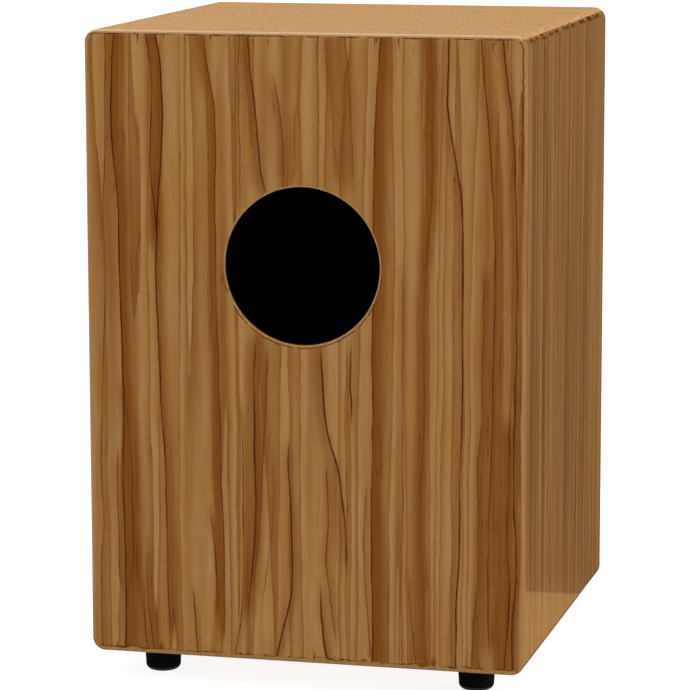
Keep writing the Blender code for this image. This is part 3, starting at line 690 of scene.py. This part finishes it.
def stack_loops(bm, loops, slot=0, first_slot=None):
    """Closed body through loops of the same number of points, with flat ends."""
    rings = [[bm.verts.new(point) for point in loop] for loop in loops]
    for low, high in zip(rings, rings[1:]):
        for i in range(len(low)):
            j = (i + 1) % len(low)
            bm.faces.new((low[i], low[j], high[j], high[i])).material_index = slot
    bm.faces.new(rings[0][::-1]).material_index = slot if first_slot is None else first_slot
    bm.faces.new(rings[-1]).material_index = slot


def ring_of(radius, z, sides):
    angles = [2 * math.pi * k / sides for k in range(sides)]
    return [(radius * math.cos(a), radius * math.sin(a), z) for a in angles]


def round_corners(centre, u, v, radius, steps):
    """Four quarter circles whose centres lie u and v from the middle."""
    points = []
    for cu, cv, first in ((u, -v, -90), (u, v, 0), (-u, v, 90), (-u, -v, 180)):
        points += arc((centre[0] + cu, centre[1] + cv), radius, first, first + 90, steps)
    return points


def rounded_outline(centre, size, radius, steps=6):
    return round_corners(centre, size[0] / 2 - radius, size[1] / 2 - radius, radius, steps)


AXES = {
    "X": lambda u, v, w: (w, u, v),
    "Y": lambda u, v, w: (u, w, v),
    "Z": lambda u, v, w: (u, v, w),
}


def prism(outline, start, end, axis):
    """Outline extruded from start to end. It is read as (Y, Z), (X, Z) or (X, Y) for axis X, Y or Z."""
    bm = bmesh.new()
    stack_loops(bm, [[AXES[axis](u, v, w) for u, v in outline] for w in (start, end)])
    return bm


def cut(target, cutter):
    """Takes a cutter's shape out of a piece. The cut's faces keep the cutter's material."""
    modifier = target.modifiers.new("cut", "BOOLEAN")
    modifier.object = cutter
    modifier.solver = "EXACT"
    modifier.material_mode = "TRANSFER"
    bake_modifiers(target)
    bpy.data.objects.remove(cutter, do_unlink=True)


def even_out_normals(obj):
    modifier = obj.modifiers.new("normals", "WEIGHTED_NORMAL")
    modifier.keep_sharp = True
    bake_modifiers(obj)


def soften(obj, width):
    """Breaks a piece's sharp edges."""
    modifier = obj.modifiers.new("soften", "BEVEL")
    modifier.width = width
    modifier.segments = 2
    modifier.limit_method = "ANGLE"
    modifier.angle_limit = math.radians(50)
    bake_modifiers(obj)
    obj.data.shade_smooth()
    obj.data.set_sharp_from_angle(angle=math.radians(50))
    even_out_normals(obj)


# Turns that point local +Z out of a surface
OUT = {
    "-X": Matrix.Rotation(math.radians(-90), 4, "Y"),
    "+X": Matrix.Rotation(math.radians(90), 4, "Y"),
    "-Y": Matrix.Rotation(math.radians(90), 4, "X"),
    "+Y": Matrix.Rotation(math.radians(-90), 4, "X"),
    "-Z": Matrix.Rotation(math.radians(180), 4, "X"),
    "+Z": Matrix.Identity(4),
}


def place_at(point, outwards):
    return Matrix.Translation(Vector(point)) @ OUT[outwards]


def bore(target, holes, material, sides=32):
    """Drills round holes, each (radius, depth, place), down from a surface."""
    bm = bmesh.new()
    for radius, depth, place in holes:
        stack_loops(bm, [[place @ Vector(point) for point in ring_of(radius, w, sides)]
                         for w in (-depth, OVERCUT)])
    cut(target, add_object("bores", bm, [material]))


def middle(node):
    low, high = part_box(node)
    return (low + high) / 2


def nodes_of(start):
    return sorted(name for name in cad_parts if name.startswith(start))


def screw_holes(start, outwards, level, depth, radius=SCREW_HOLE):
    """Holes for the screws whose names begin with start, down from the face at a level."""
    places = [middle(node) for node in nodes_of(start)]
    for place in places:
        place["XYZ".index(outwards[1])] = level
    return [(radius, depth, place_at(place, outwards)) for place in places]


# Panels


def rounded_loop(inset, y):
    """Points round the box's outline, inset from it, at depth y."""
    u, v = HALF_WIDTH - CORNER_RADIUS, HALF_HEIGHT - CORNER_RADIUS
    points = round_corners((0, BODY_MIDDLE), u, v, CORNER_RADIUS - inset, CORNER_STEPS)
    return [(x, y, z) for x, z in points]


def face_plate(name, outer, inner, edge_round, veneer, back):
    """Plate with a round edge about its outer face. Its back takes the second material."""
    inwards = math.copysign(1, inner - outer)
    loops = [rounded_loop(0, inner), rounded_loop(0, outer + inwards * edge_round)]
    for i in range(1, ROUND_STEPS + 1):
        a = math.radians(90) * i / ROUND_STEPS
        y = outer + inwards * edge_round * (1 - math.sin(a))
        loops.append(rounded_loop(edge_round * (1 - math.cos(a)), y))
    bm = bmesh.new()
    stack_loops(bm, loops, first_slot=1)
    return add_object(name, bm, [veneer, back], smooth_angle=50)


def turned_bmesh(profile, sides, closed=False):
    """Body turned about Z from (radius, height) points."""
    bm = bmesh.new()
    rings = []
    for radius, height in profile:
        points = [(0, 0, height)] if radius == 0 else ring_of(radius, height, sides)
        rings.append([bm.verts.new(point) for point in points])
    pairs = list(zip(rings, rings[1:]))
    if closed:
        pairs.append((rings[-1], rings[0]))
    for first, second in pairs:
        for k in range(sides):
            n = (k + 1) % sides
            corners = [ring[i % len(ring)] for ring, i in ((first, k), (first, n), (second, n), (second, k))]
            bm.faces.new(list(dict.fromkeys(corners)))
    return bm


def turned(name, profile, sides, material, closed=True):
    return add_object(name, turned_bmesh(profile, sides, closed), [material], smooth_angle=35)


def build_rear_panel(veneer, rim, paint):
    panel = face_plate("rear_panel_veneered", REAR[0].y, REAR[1].y, EDGE_ROUND, veneer, paint)
    thickness = REAR[1].y - REAR[0].y
    mouth = HOLE_RADIUS + HOLE_ROUND
    flare = arc((mouth, -HOLE_ROUND), HOLE_ROUND, 180, 90, 8)
    wall_end = -thickness - OVERCUT
    profile = [(0, wall_end), (HOLE_RADIUS, wall_end), *flare, (mouth, OVERCUT), (0, OVERCUT)]
    bm = turned_bmesh(profile, 160)
    place = Matrix.Translation((0, REAR[0].y, HOLE_CENTRE_Z)) @ Matrix.Rotation(math.radians(90), 4, "X")
    bm.transform(place)
    bm.normal_update()
    for face in bm.faces:
        depth = face.calc_center_median().y - REAR[0].y
        face.material_index = 0 if depth < 0.6 * HOLE_ROUND else 1
    cut(panel, add_object("hole_cutter", bm, [rim, paint]))
    even_out_normals(panel)
    hand_over(panel, "box", "figured_veneer", "rear_panel")


def build_tapa(veneer, paint, rim):
    panel = face_plate("tapa_veneered", TAPA[1].y, TAPA[0].y, TAPA_ROUND, veneer, paint)
    depth = 2 * (TAPA[1].y - TAPA[0].y)
    bore(panel, screw_holes("tapa_screw_", "+Y", TAPA[1].y, depth), rim, sides=20)
    even_out_normals(panel)
    hand_over(panel, "box", "figured_veneer", "tapa")


def ring_panel(name, half_length, half_across, to_xz, outer, paint, slot, node, holes):
    """Wall of the box with mitred ends. The inner face and the mitres take the paint."""
    centre = (half_length - CORNER_RADIUS, half_across - CORNER_RADIUS)
    inner = (half_length - WALL - GLUE_LINE, half_across - WALL)
    right = [inner] + [(u - GLUE_LINE, v) for u, v in arc(centre, CORNER_RADIUS, 45, 90, CORNER_STEPS)]
    outline = [to_xz(u, v) for u, v in right + [(-u, v) for u, v in reversed(right)]]
    depths = (REAR[1].y + GLUE_LINE, TAPA[0].y - GLUE_LINE)
    bm = bmesh.new()
    rings = [[bm.verts.new((x, y, z)) for x, z in outline] for y in depths]
    count = len(outline)
    for i in range(count):
        j = (i + 1) % count
        face = bm.faces.new((rings[0][i], rings[0][j], rings[1][j], rings[1][i]))
        if i in (0, count - 2, count - 1):
            face.material_index = 1
    for ring in rings:
        bm.faces.new(ring).material_index = 1
    panel = add_object(name, bm, [outer, paint], smooth_angle=30)
    if holes:
        bore(panel, holes, paint, sides=24)
    even_out_normals(panel)
    hand_over(panel, "box", slot, node)


def side_pilots(side, inwards):
    """Pilot holes in a side panel for its bracket's screws."""
    low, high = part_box(f"{side}_side_panel")
    face = low.x + WALL if inwards == "+X" else high.x - WALL
    return screw_holes(f"bracket_screw_{side}_", inwards, face, PILOT_DEPTH["bracket"])


def build_walls(seat, side, base, paint):
    z = BODY_MIDDLE
    along, up = HALF_WIDTH, HALF_HEIGHT
    bush = middle("tension_screw_bush")
    under = screw_holes("foot_screw_", "-Z", BODY_BOTTOM, PILOT_DEPTH["foot"], FOOT_HOLE)
    under.append((BUSH_RADIUS + GAP, 2 * WALL, place_at((bush.x, bush.y, BODY_BOTTOM), "-Z")))
    ring_panel("top_panel_veneered", along, up, lambda u, v: (u, z + v), seat, paint, "seat_veneer",
               "top_panel", [])
    ring_panel("bottom_panel_board", along, up, lambda u, v: (-u, z - v), base, paint, "base_board",
               "bottom_panel", under)
    ring_panel("right_panel_veneered", up, along, lambda u, v: (v, z - u), side, paint, "straight_veneer",
               "right_side_panel", side_pilots("right", "-X"))
    ring_panel("left_panel_veneered", up, along, lambda u, v: (-v, z + u), side, paint, "straight_veneer",
               "left_side_panel", side_pilots("left", "+X"))


# Screws and feet


def thread_loops(radius, depth, pitch, low, high, sides, per_turn, point=0.0):
    """Rings of a thread from high down to low, coming to a point over the last stretch."""
    count = max(2, round((high - low) / pitch * per_turn))
    loops = []
    for i in range(count + 1):
        z = high - (high - low) * i / count
        taper = 1.0 if point == 0 else min(1.0, 0.12 + 0.88 * (z - low) / point)
        loop = []
        for k in range(sides):
            a = 2 * math.pi * k / sides
            phase = (z / pitch + k / sides) % 1.0
            crest = max(0.0, 1 - abs(2 * phase - 1) / 0.75)
            r = taper * (radius - depth * (1 - crest))
            loop.append((r * math.cos(a), r * math.sin(a), z))
        loops.append(loop)
    return loops


def cross_recess(radius, top, depth):
    """Tapered cross-shaped cutter, as wide at its top as 0.6 of the head."""
    bm = bmesh.new()
    loops = []
    for z, arm, half in ((top + 0.0005, 0.68, 0.17), (top - depth, 0.22, 0.10)):
        a, b = arm * radius, half * radius
        quarter = [(a, -b), (a, b), (b, b)]
        loop = []
        for turn in range(4):
            c, s = (1, 0, -1, 0)[turn], (0, 1, 0, -1)[turn]
            loop += [(c * u - s * v, s * u + c * v, z) for u, v in quarter]
        loops.append(loop)
    stack_loops(bm, loops)
    return bm


def pan_screw_mesh(head_radius, head_height, shank, length, material):
    """Pan-head wood screw with a cross recess, its seat at height 0 and its point down."""
    sides = 24
    dome = [(0.25, 1.0), (0.5, 0.965), (0.72, 0.86), (0.88, 0.68), (0.97, 0.44), (1.0, 0.2), (1.0, 0.06),
            (0.96, 0.0)]
    loops = [ring_of(u * head_radius, v * head_height, sides) for u, v in dome]
    loops.append(ring_of(shank, 0, sides))
    depth, pitch, point = WOOD_THREAD
    loops += thread_loops(shank, depth * shank, pitch, -length, -GAP, sides, per_turn=7, point=point * shank)
    bm = bmesh.new()
    stack_loops(bm, loops)
    screw = add_object("pan_screw", bm, [material], smooth_angle=35)
    recess = add_object("recess", cross_recess(head_radius, head_height, 0.7 * head_height), [material])
    cut(screw, recess)
    mesh = screw.data
    bpy.data.objects.remove(screw)
    return mesh


def pan_screws(nodes, outwards, head, shank, material, slot, body):
    """Screws of one size in place of the CAD's, each with its cross turned its own way."""
    axis = "XYZ".index(outwards[1])
    sign = 1 if outwards[0] == "+" else -1
    mesh = None
    for node in nodes:
        low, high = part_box(node)
        if mesh is None:
            mesh = pan_screw_mesh(*head, shank, high[axis] - low[axis] - head[1], material)
        seat = middle(node)
        seat[axis] = (high if sign > 0 else low)[axis] - sign * head[1]
        screw = bpy.data.objects.new(node + "_threaded", mesh.copy())
        bpy.context.scene.collection.objects.link(screw)
        screw.matrix_world = place_at(seat, outwards) @ Matrix.Rotation(rng.uniform(0, math.pi), 4, "Z")
        hand_over(screw, body, slot, node)


def build_screws(zinc, black):
    """Every wood screw. The order is that of the random turns of their crosses."""
    kinds = (
        ("tapa", "", "+Y", SCREW_SHANK, black, "black_steel", "box"),
        ("foot", "", "-Z", FOOT_SHANK, zinc, "zinc_steel", "box"),
        ("bracket", "left", "+X", SCREW_SHANK, zinc, "zinc_steel", "box"),
        ("bracket", "right", "-X", SCREW_SHANK, zinc, "zinc_steel", "box"),
        ("snare", "", "+Y", SCREW_SHANK, black, "black_steel", "snare_rail"),
        ("lever", "", "-Y", SCREW_SHANK, black, "black_steel", "snare_rail"),
    )
    for kind, side, outwards, shank, material, slot, body in kinds:
        screws = nodes_of(f"{kind}_screw_{side}")
        pan_screws(screws, outwards, PAN_HEAD[kind], shank, material, slot, body)


def foot_profile():
    """Closed profile of the rubber foot: slight taper, large round lower edge, recess for the screw."""
    low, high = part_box("foot_rear_left")
    radius, top = (high.x - low.x) / 2, high.z
    edge, taper, lip = 0.0042, 0.0008, 0.0005
    side = [(radius - lip, top), (radius - 0.3 * lip, top - 0.3 * lip), (radius, top - lip)]
    lower_edge = arc((radius - taper - edge, edge), edge, 0, -90, 10)
    recess, depth = FOOT_RECESS
    inner = [(recess + 0.0006, 0), (recess, 0.0006), (recess, depth - 0.0004), (recess - 0.0004, depth)]
    return [(FOOT_HOLE, top), *side, *lower_edge, *inner, (FOOT_HOLE, depth)]


def washer_profile(node, edge=0.0003):
    low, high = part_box(node)
    radius = (high.x - low.x) / 2
    side = [(radius - edge, low.z), (radius, low.z + edge), (radius, high.z - edge), (radius - edge, high.z)]
    return [(FOOT_HOLE, low.z), *side, (FOOT_HOLE, high.z)]


def build_feet(rubber_material, zinc):
    for node in nodes_of("foot_"):
        if node.startswith("foot_screw_"):
            continue
        if node.startswith("foot_washer_"):
            profile, sides, material, slot = washer_profile(node), 40, zinc, "zinc_steel"
        else:
            profile, sides, material, slot = foot_profile(), 64, rubber_material, "rubber"
        piece = turned(node + "_turned", profile, sides, material)
        place = middle(node)
        piece.location = (place.x, place.y, 0)
        hand_over(piece, "box", slot, node)


# Snare works


def build_battens(paint):
    for node in nodes_of("front_batten_"):
        low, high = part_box(node)
        outline = [(low.x, low.z), (high.x, low.z), (high.x, high.z), (low.x, high.z)]
        batten = add_object(node + "_planed", prism(outline, low.y, high.y, "Y"), [paint])
        holes = [hole for hole in screw_holes("tapa_screw_", "+Y", high.y, PILOT_DEPTH["batten"])
                 if all(low[k] < hole[2].translation[k] < high[k] for k in (0, 2))]
        bore(batten, holes, paint, 16)
        soften(batten, 0.0007)
        hand_over(batten, "box", "blackened_wood", node)


def bar(node, suffix, edge_radius, material):
    """Bar along X that fills a node's box, with rounded long edges, and the middle of its ends."""
    low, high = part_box(node)
    centre = ((low.y + high.y) / 2, (low.z + high.z) / 2)
    outline = rounded_outline(centre, (high.y - low.y, high.z - low.z), edge_radius)
    return add_object(node + suffix, prism(outline, low.x, high.x, "X"), [material]), centre


def build_rail(paint):
    low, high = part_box("snare_rail")
    rail, centre = bar("snare_rail", "_planed", 0.0018, paint)
    holes = screw_holes("snare_screw_", "+Y", high.y, PILOT_DEPTH["snare"])
    holes += screw_holes("lever_screw_", "-Y", low.y, PILOT_DEPTH["lever"])
    holes += [(PIN_RADIUS + GAP, PIN_BORE, place_at((x, *centre), out))
              for x, out in ((low.x, "-X"), (high.x, "+X"))]
    bore(rail, holes, paint)
    soften(rail, 0.0006)
    hand_over(rail, "snare_rail", "blackened_wood", "snare_rail")


def build_bracket(side, to_rail, plastic):
    node = f"rail_bracket_{side}"
    low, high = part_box(node)
    bracket, centre = bar(node, "_moulded", 0.004, plastic)
    face = high.x if to_rail == "+X" else low.x
    holes = screw_holes(f"bracket_screw_{side}_", to_rail, face, 2 * (high.x - low.x))
    holes.append((PIN_RADIUS + GAP, BRACKET_BORE, place_at((face, *centre), to_rail)))
    bore(bracket, holes, plastic)
    soften(bracket, 0.0008)
    hand_over(bracket, "box", "nylon", node)


def build_pin(side, zinc):
    node = f"rail_pin_{side}"
    low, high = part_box(node)
    edge, half = 0.0005, (high.x - low.x) / 2
    profile = [(0, -half), (PIN_RADIUS - edge, -half), (PIN_RADIUS, edge - half)]
    profile += [(radius, -z) for radius, z in reversed(profile)]
    pin = turned(node + "_turned", profile, 40, zinc, closed=False)
    pin.matrix_world = place_at(middle(node), "+X")
    hand_over(pin, "snare_rail", "zinc_steel", node)


def build_rail_bearings(plastic, zinc):
    for side, to_rail in (("left", "+X"), ("right", "-X")):
        build_bracket(side, to_rail, plastic)
        build_pin(side, zinc)


def coil_loops(foot, tip):
    """Rings of square wire wound into a coil from foot to tip."""
    along = tip - foot
    turn = along.to_track_quat("Z", "Y").to_matrix().to_4x4()
    place = Matrix.Translation(foot) @ turn
    turns = round(along.length / COIL_PITCH)
    count = turns * COIL_STEPS
    lift = math.atan2(COIL_PITCH, 2 * math.pi * COIL_RADIUS)
    loops = []
    for i in range(count + 1):
        a = 2 * math.pi * i / COIL_STEPS
        z = along.length * i / count
        outwards = Vector((math.cos(a), math.sin(a), 0))
        upwards = Vector((math.sin(a) * math.sin(lift), -math.cos(a) * math.sin(lift), math.cos(lift)))
        centre = outwards * COIL_RADIUS + Vector((0, 0, z))
        loops.append([place @ (centre + WIRE_RADIUS * (u * outwards + v * upwards))
                      for u, v in ((1, 0), (0, 1), (-1, 0), (0, -1))])
    return loops


def build_snares(wire, zinc):
    """Each snare set: its end plate, with coiled wires that run up and forward to the tapa."""
    sheet, plate_height = PLATE_SIZE
    for side in ("left", "right"):
        node = f"snare_{side}"
        low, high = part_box(node)
        x = (low.x + high.x) / 2
        outline = rounded_outline((x, low.z + plate_height / 2), (high.x - low.x, plate_height), 0.0015)
        plate = prism(outline, low.y, low.y + sheet, "Y")
        snare = add_object(node + "_wires", plate, [zinc, wire], 35)
        bore(snare, screw_holes(f"snare_screw_{side}_", "+Y", low.y + sheet, 3 * sheet), zinc, 24)
        bm = bmesh.new()
        bm.from_mesh(snare.data)
        foot_y, foot_z = low.y + sheet + 0.6 * STRAND_RADIUS, low.z + STRAND_FOOT
        tip_y, tip_z = high.y - STRAND_RADIUS, foot_z + STRAND_RISE
        for i in range(SNARE_STRANDS):
            strand_x = x + (i - (SNARE_STRANDS - 1) / 2) * STRAND_PITCH
            loops = coil_loops(Vector((strand_x, foot_y, foot_z)), Vector((strand_x, tip_y, tip_z)))
            stack_loops(bm, loops, slot=1)
        bm.to_mesh(snare.data)
        bm.free()
        hand_over(snare, "snare_rail", "snare_wire", node)


def build_lever(black):
    low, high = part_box("snare_lever")
    nut = middle("barrel_nut")
    outer, inner, bend = LEVER_EARS
    base, ear_end = high.y, low.y
    step = base - (outer - inner)
    outside = arc((outer + bend, step - bend), bend, 90, 180, 6)
    inside = arc((inner - LEVER_INNER_BEND, step - LEVER_INNER_BEND), LEVER_INNER_BEND, 0, 90, 3)
    right = [(high.x, base), (high.x, step), *outside, (outer, ear_end), (inner, ear_end), *inside]
    outline = right + [(-x, y) for x, y in reversed(right)]
    lever = add_object("snare_lever_bent", prism(outline, low.z, high.z, "Z"), [black], 35)
    holes = screw_holes("lever_screw_", "-Y", step, 2 * (base - step))
    holes.append((TRUNNION + GAP, 3 * outer, place_at((outer, nut.y, nut.z), "+X")))
    bore(lever, holes, black)
    soften(lever, 0.0003)
    hand_over(lever, "snare_rail", "black_steel", "snare_lever")


def build_barrel_nut(black):
    nut = middle("barrel_nut")
    low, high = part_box("barrel_nut")
    end, half, edge = (high.x - low.x) / 2, NUT_HALF_LENGTH, 0.0003
    body = (high.z - low.z) / 2
    profile = [(0, -end), (TRUNNION - edge, -end), (TRUNNION, edge - end), (TRUNNION, -half),
               (body - edge, -half), (body, edge - half)]
    profile += [(radius, -z) for radius, z in reversed(profile)]
    bm = turned_bmesh(profile, 48)
    bm.transform(place_at(nut, "+X"))
    piece = add_object("barrel_nut_turned", bm, [black], 35)
    bore(piece, [(SCREW_RADIUS + GAP, 4 * body, place_at((nut.x, nut.y, high.z), "+Z"))], black, 40)
    even_out_normals(piece)
    hand_over(piece, "barrel_nut", "black_steel", "barrel_nut")


def hexagon_prism(radius, low, high):
    outline = arc((0, 0), radius, 0, 300, 5)
    return prism(outline, low, high, "Z")


def build_tension_rod(black):
    axis = middle("tension_screw")
    low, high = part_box("tension_screw")
    head_radius, head, socket_depth, socket_radius = CAP_HEAD
    sides = 32
    seat = low.z + head
    cap = [(0.5, 0.0), (0.86, 0.0), (0.95, 0.03), (1.0, 0.1), (1.0, 0.9), (0.98, 0.97), (0.95, 1.0)]
    loops = [ring_of(u * head_radius, low.z + v * head, sides) for u, v in cap]
    loops.append(ring_of(SCREW_RADIUS, seat, sides))
    chamfer, chamfer_height = 0.0009, 0.0008
    thread_end = high.z - chamfer_height
    loops += thread_loops(SCREW_RADIUS, *SCREW_THREAD, seat + GAP, thread_end, sides, per_turn=6)[::-1]
    loops.append(ring_of(SCREW_RADIUS - chamfer, high.z, sides))
    bm = bmesh.new()
    stack_loops(bm, loops)
    screw = add_object("tension_screw_threaded", bm, [black], 35)
    socket = hexagon_prism(socket_radius, low.z - 0.001, low.z + socket_depth)
    cut(screw, add_object("socket", socket, [black]))
    screw.location = (axis.x, axis.y, 0)
    hand_over(screw, "tension_screw", "black_steel", "tension_screw")


def build_lock_nut(black):
    axis = middle("tension_screw")
    low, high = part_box("tension_lock_nut")
    corner, height = LOCK_NUT_CORNER, high.z - low.z
    lock_nut = add_object("tension_lock_nut_milled", hexagon_prism(corner, low.z, high.z), [black], 25)
    flat, chamfer, past = corner * 0.866, 0.0005, 0.001
    half = [(flat, -past), (flat + 0.0002, 0.0), (corner + 0.0001, chamfer)]
    outside = half + [(radius, height - z) for radius, z in reversed(half)]
    outside += [(2 * corner, height + past), (2 * corner, -past)]
    ring = turned_bmesh([(radius, low.z + z) for radius, z in outside], 48, closed=True)
    cut(lock_nut, add_object("chamfer_ring", ring, [black]))
    bore(lock_nut, [(SCREW_RADIUS + GAP, 2 * height, place_at((0, 0, high.z), "+Z"))], black, 40)
    lock_nut.location = (axis.x, axis.y, 0)
    hand_over(lock_nut, "tension_screw", "black_steel", "tension_lock_nut")


def build_bush(plastic):
    axis = middle("tension_screw")
    low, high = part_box("tension_screw_bush")
    flange, edge = (high.x - low.x) / 2, 0.0004
    step = low.z + BUSH_FLANGE
    hole = SCREW_RADIUS + GAP
    profile = [(hole, low.z), (flange - edge, low.z), (flange, low.z + edge), (flange, step - edge / 2),
               (flange - edge / 2, step), (BUSH_RADIUS, step), (BUSH_RADIUS, high.z - edge),
               (BUSH_RADIUS - edge, high.z), (hole, high.z)]
    bush = turned("tension_screw_bush_turned", profile, 48, plastic)
    bush.location = (axis.x, axis.y, 0)
    hand_over(bush, "box", "nylon", "tension_screw_bush")


# Studio

CAMERA_PLACE = Vector((0.5701, -2.2999, 0.6107))
CAMERA_YAW, CAMERA_PITCH, CAMERA_ROLL = -14.125, 9.443, -0.109  # degrees: to the left, down, clockwise
CAMERA_LENS = 174.55


def build_camera():
    camera = bpy.data.cameras.new("camera")
    camera.lens = CAMERA_LENS
    camera.sensor_width = 36
    camera.clip_end = 100
    obj = bpy.data.objects.new("camera", camera)
    bpy.context.scene.collection.objects.link(obj)
    yaw, pitch, roll = (math.radians(angle) for angle in (CAMERA_YAW, CAMERA_PITCH, CAMERA_ROLL))
    forward = Vector((math.sin(yaw) * math.cos(pitch), math.cos(yaw) * math.cos(pitch), -math.sin(pitch)))
    right = Vector((math.cos(yaw), -math.sin(yaw), 0))
    up = right.cross(forward)
    tilted_right = math.cos(roll) * right + math.sin(roll) * up
    tilted_up = math.cos(roll) * up - math.sin(roll) * right
    turn = Matrix((tilted_right, tilted_up, -forward)).transposed().to_4x4()
    obj.matrix_world = Matrix.Translation(CAMERA_PLACE) @ turn
    bpy.context.scene.camera = obj


def plain_emitter(name, colour, strength):
    material = bpy.data.materials.new(name)
    material.use_nodes = True
    tree = material.node_tree
    tree.nodes.clear()
    output = tree.nodes.new("ShaderNodeOutputMaterial")
    emission = tree.nodes.new("ShaderNodeEmission")
    emission.inputs["Color"].default_value = colour
    emission.inputs["Strength"].default_value = strength
    tree.links.new(emission.outputs[0], output.inputs["Surface"])
    return material


def stage_mesh(name, bm, material):
    mesh = bpy.data.meshes.new(name)
    bm.to_mesh(mesh)
    bm.free()
    mesh.materials.append(material)
    obj = bpy.data.objects.new(name, mesh)
    bpy.context.scene.collection.objects.link(obj)
    return obj


def stage_plane(name, corners, material):
    bm = bmesh.new()
    bm.faces.new([bm.verts.new(corner) for corner in corners])
    return stage_mesh(name, bm, material)


def hide_from(obj, *rays):
    for kind in rays:
        setattr(obj, "visible_" + kind, False)


def build_backdrop():
    """White dome that only the camera sees, so that no horizon shows where the floor ends."""
    bm = bmesh.new()
    bmesh.ops.create_uvsphere(bm, u_segments=48, v_segments=24, radius=BACKDROP_RADIUS)
    dome = stage_mesh("backdrop", bm, plain_emitter("backdrop_white", (1, 1, 1, 1), 1.0))
    hide_from(dome, "diffuse", "glossy", "shadow", "transmission")


def lying(x0, x1, y0, y1):
    """Corners of a card that lies just above the floor."""
    return [(x0, y0, CARD_HEIGHT), (x1, y0, CARD_HEIGHT), (x1, y1, CARD_HEIGHT), (x0, y1, CARD_HEIGHT)]


def standing(x0, x1, y, z0, z1):
    """Corners of an upright card that faces along Y."""
    return [(x0, y, z0), (x1, y, z0), (x1, y, z1), (x0, y, z1)]


def flag(name, corners, colour=(0, 0, 0, 1), strength=0.0):
    """Card, black unless a colour is given, that is seen only in reflections."""
    card = stage_plane(name, corners, plain_emitter(name, colour, strength))
    hide_from(card, "camera", "diffuse", "shadow", "transmission")


def build_floor():
    nodes = Nodes("floor_paint")
    x, y, _ = nodes.millimetres()
    mottle = nodes.noise((x, y), (40, 40), seed=200, detail=3.0)
    colour = nodes.mix(nodes.ramp(mottle, 0.3, 0.7), (0.29, 0.29, 0.29, 1), (0.31, 0.31, 0.31, 1))
    material = nodes.finish(colour, 0.9, Specular_IOR_Level=0.1, Emission_Strength=0.88)
    nodes.shader.inputs["Emission Color"].default_value = (1, 1, 1, 1)
    stage_plane("floor", [(-14, -14, 0), (14, -14, 0), (14, 40, 0), (-14, 40, 0)], material)


def area_light(name, place, target, size, power, colour=(1, 1, 1)):
    light = bpy.data.lights.new(name, "AREA")
    light.shape = "RECTANGLE"
    light.size, light.size_y = size
    light.energy = power
    light.color = colour
    obj = bpy.data.objects.new(name, light)
    obj.location = place
    obj.rotation_euler = (Vector(target) - Vector(place)).to_track_quat("-Z", "Y").to_euler()
    bpy.context.scene.collection.objects.link(obj)


def build_studio():
    scene = bpy.context.scene
    scene.view_settings.view_transform = "Standard"
    scene.view_settings.look = "None"
    world = bpy.data.worlds.new("studio")
    scene.world = world
    world.use_nodes = True
    background = world.node_tree.nodes["Background"]
    background.inputs["Color"].default_value = (1, 1, 1, 1)
    background.inputs["Strength"].default_value = 0.8
    build_floor()
    build_backdrop()
    area_light("overhead", (-0.6, -0.9, 2.6), (0, 0, 0.3), (1.6, 1.6), 24)
    area_light("right_fill", (2.5, 1.1, 1.1), (0.15, 0, 0.25), (1.5, 1.5), 34)
    flag("flag_front", standing(-0.6, 0.5, -0.2, 0.0, 0.62))
    flag("flag_side", standing(0.148, 3.5, 0.159, 0.0, 2.5))
    flag("flag_back", standing(-3, 3, 1.0, 0.3, 0.95))
    flag("flag_under", lying(-0.4, 0.16, -0.2, 0.15))
    flag("warm_card", lying(0.16, 0.6, -0.3, 0.16), (1.0, 0.62, 0.22, 1), 0.55)


def main():
    build_camera()
    paint = black_paint("inner_paint_panels", "XYZ", (9, 9, 60))
    strip_paint = black_paint("inner_paint_strips", "XYZ", (30, 2, 2))
    rim = rim_wood()
    zinc = metal("zinc_steel", (0.30, 0.30, 0.29, 1), (0.62, 0.61, 0.58, 1), (0.28, 0.45), 140)
    black = metal("black_steel", (0.012, 0.012, 0.013, 1), (0.05, 0.05, 0.052, 1), (0.3, 0.5), 147)
    wire = metal("snare_wire", (0.12, 0.12, 0.115, 1), (0.30, 0.295, 0.28, 1), (0.3, 0.45), 153)
    plastic = nylon()
    build_rear_panel(figured_veneer("rear_veneer", REAR_VEINS, 0.0, hole=True), rim, paint)
    build_tapa(figured_veneer("tapa_veneer", drawn_veins(5), 400.0), paint, rim)
    build_walls(seat_veneer(), side_veneer(), base_board(), paint)
    build_feet(rubber(), zinc)
    build_screws(zinc, black)
    build_battens(strip_paint)
    build_rail(strip_paint)
    build_rail_bearings(plastic, zinc)
    build_snares(wire, zinc)
    build_lever(black)
    build_barrel_nut(black)
    build_tension_rod(black)
    build_lock_nut(black)
    build_bush(plastic)
    build_studio()


main()
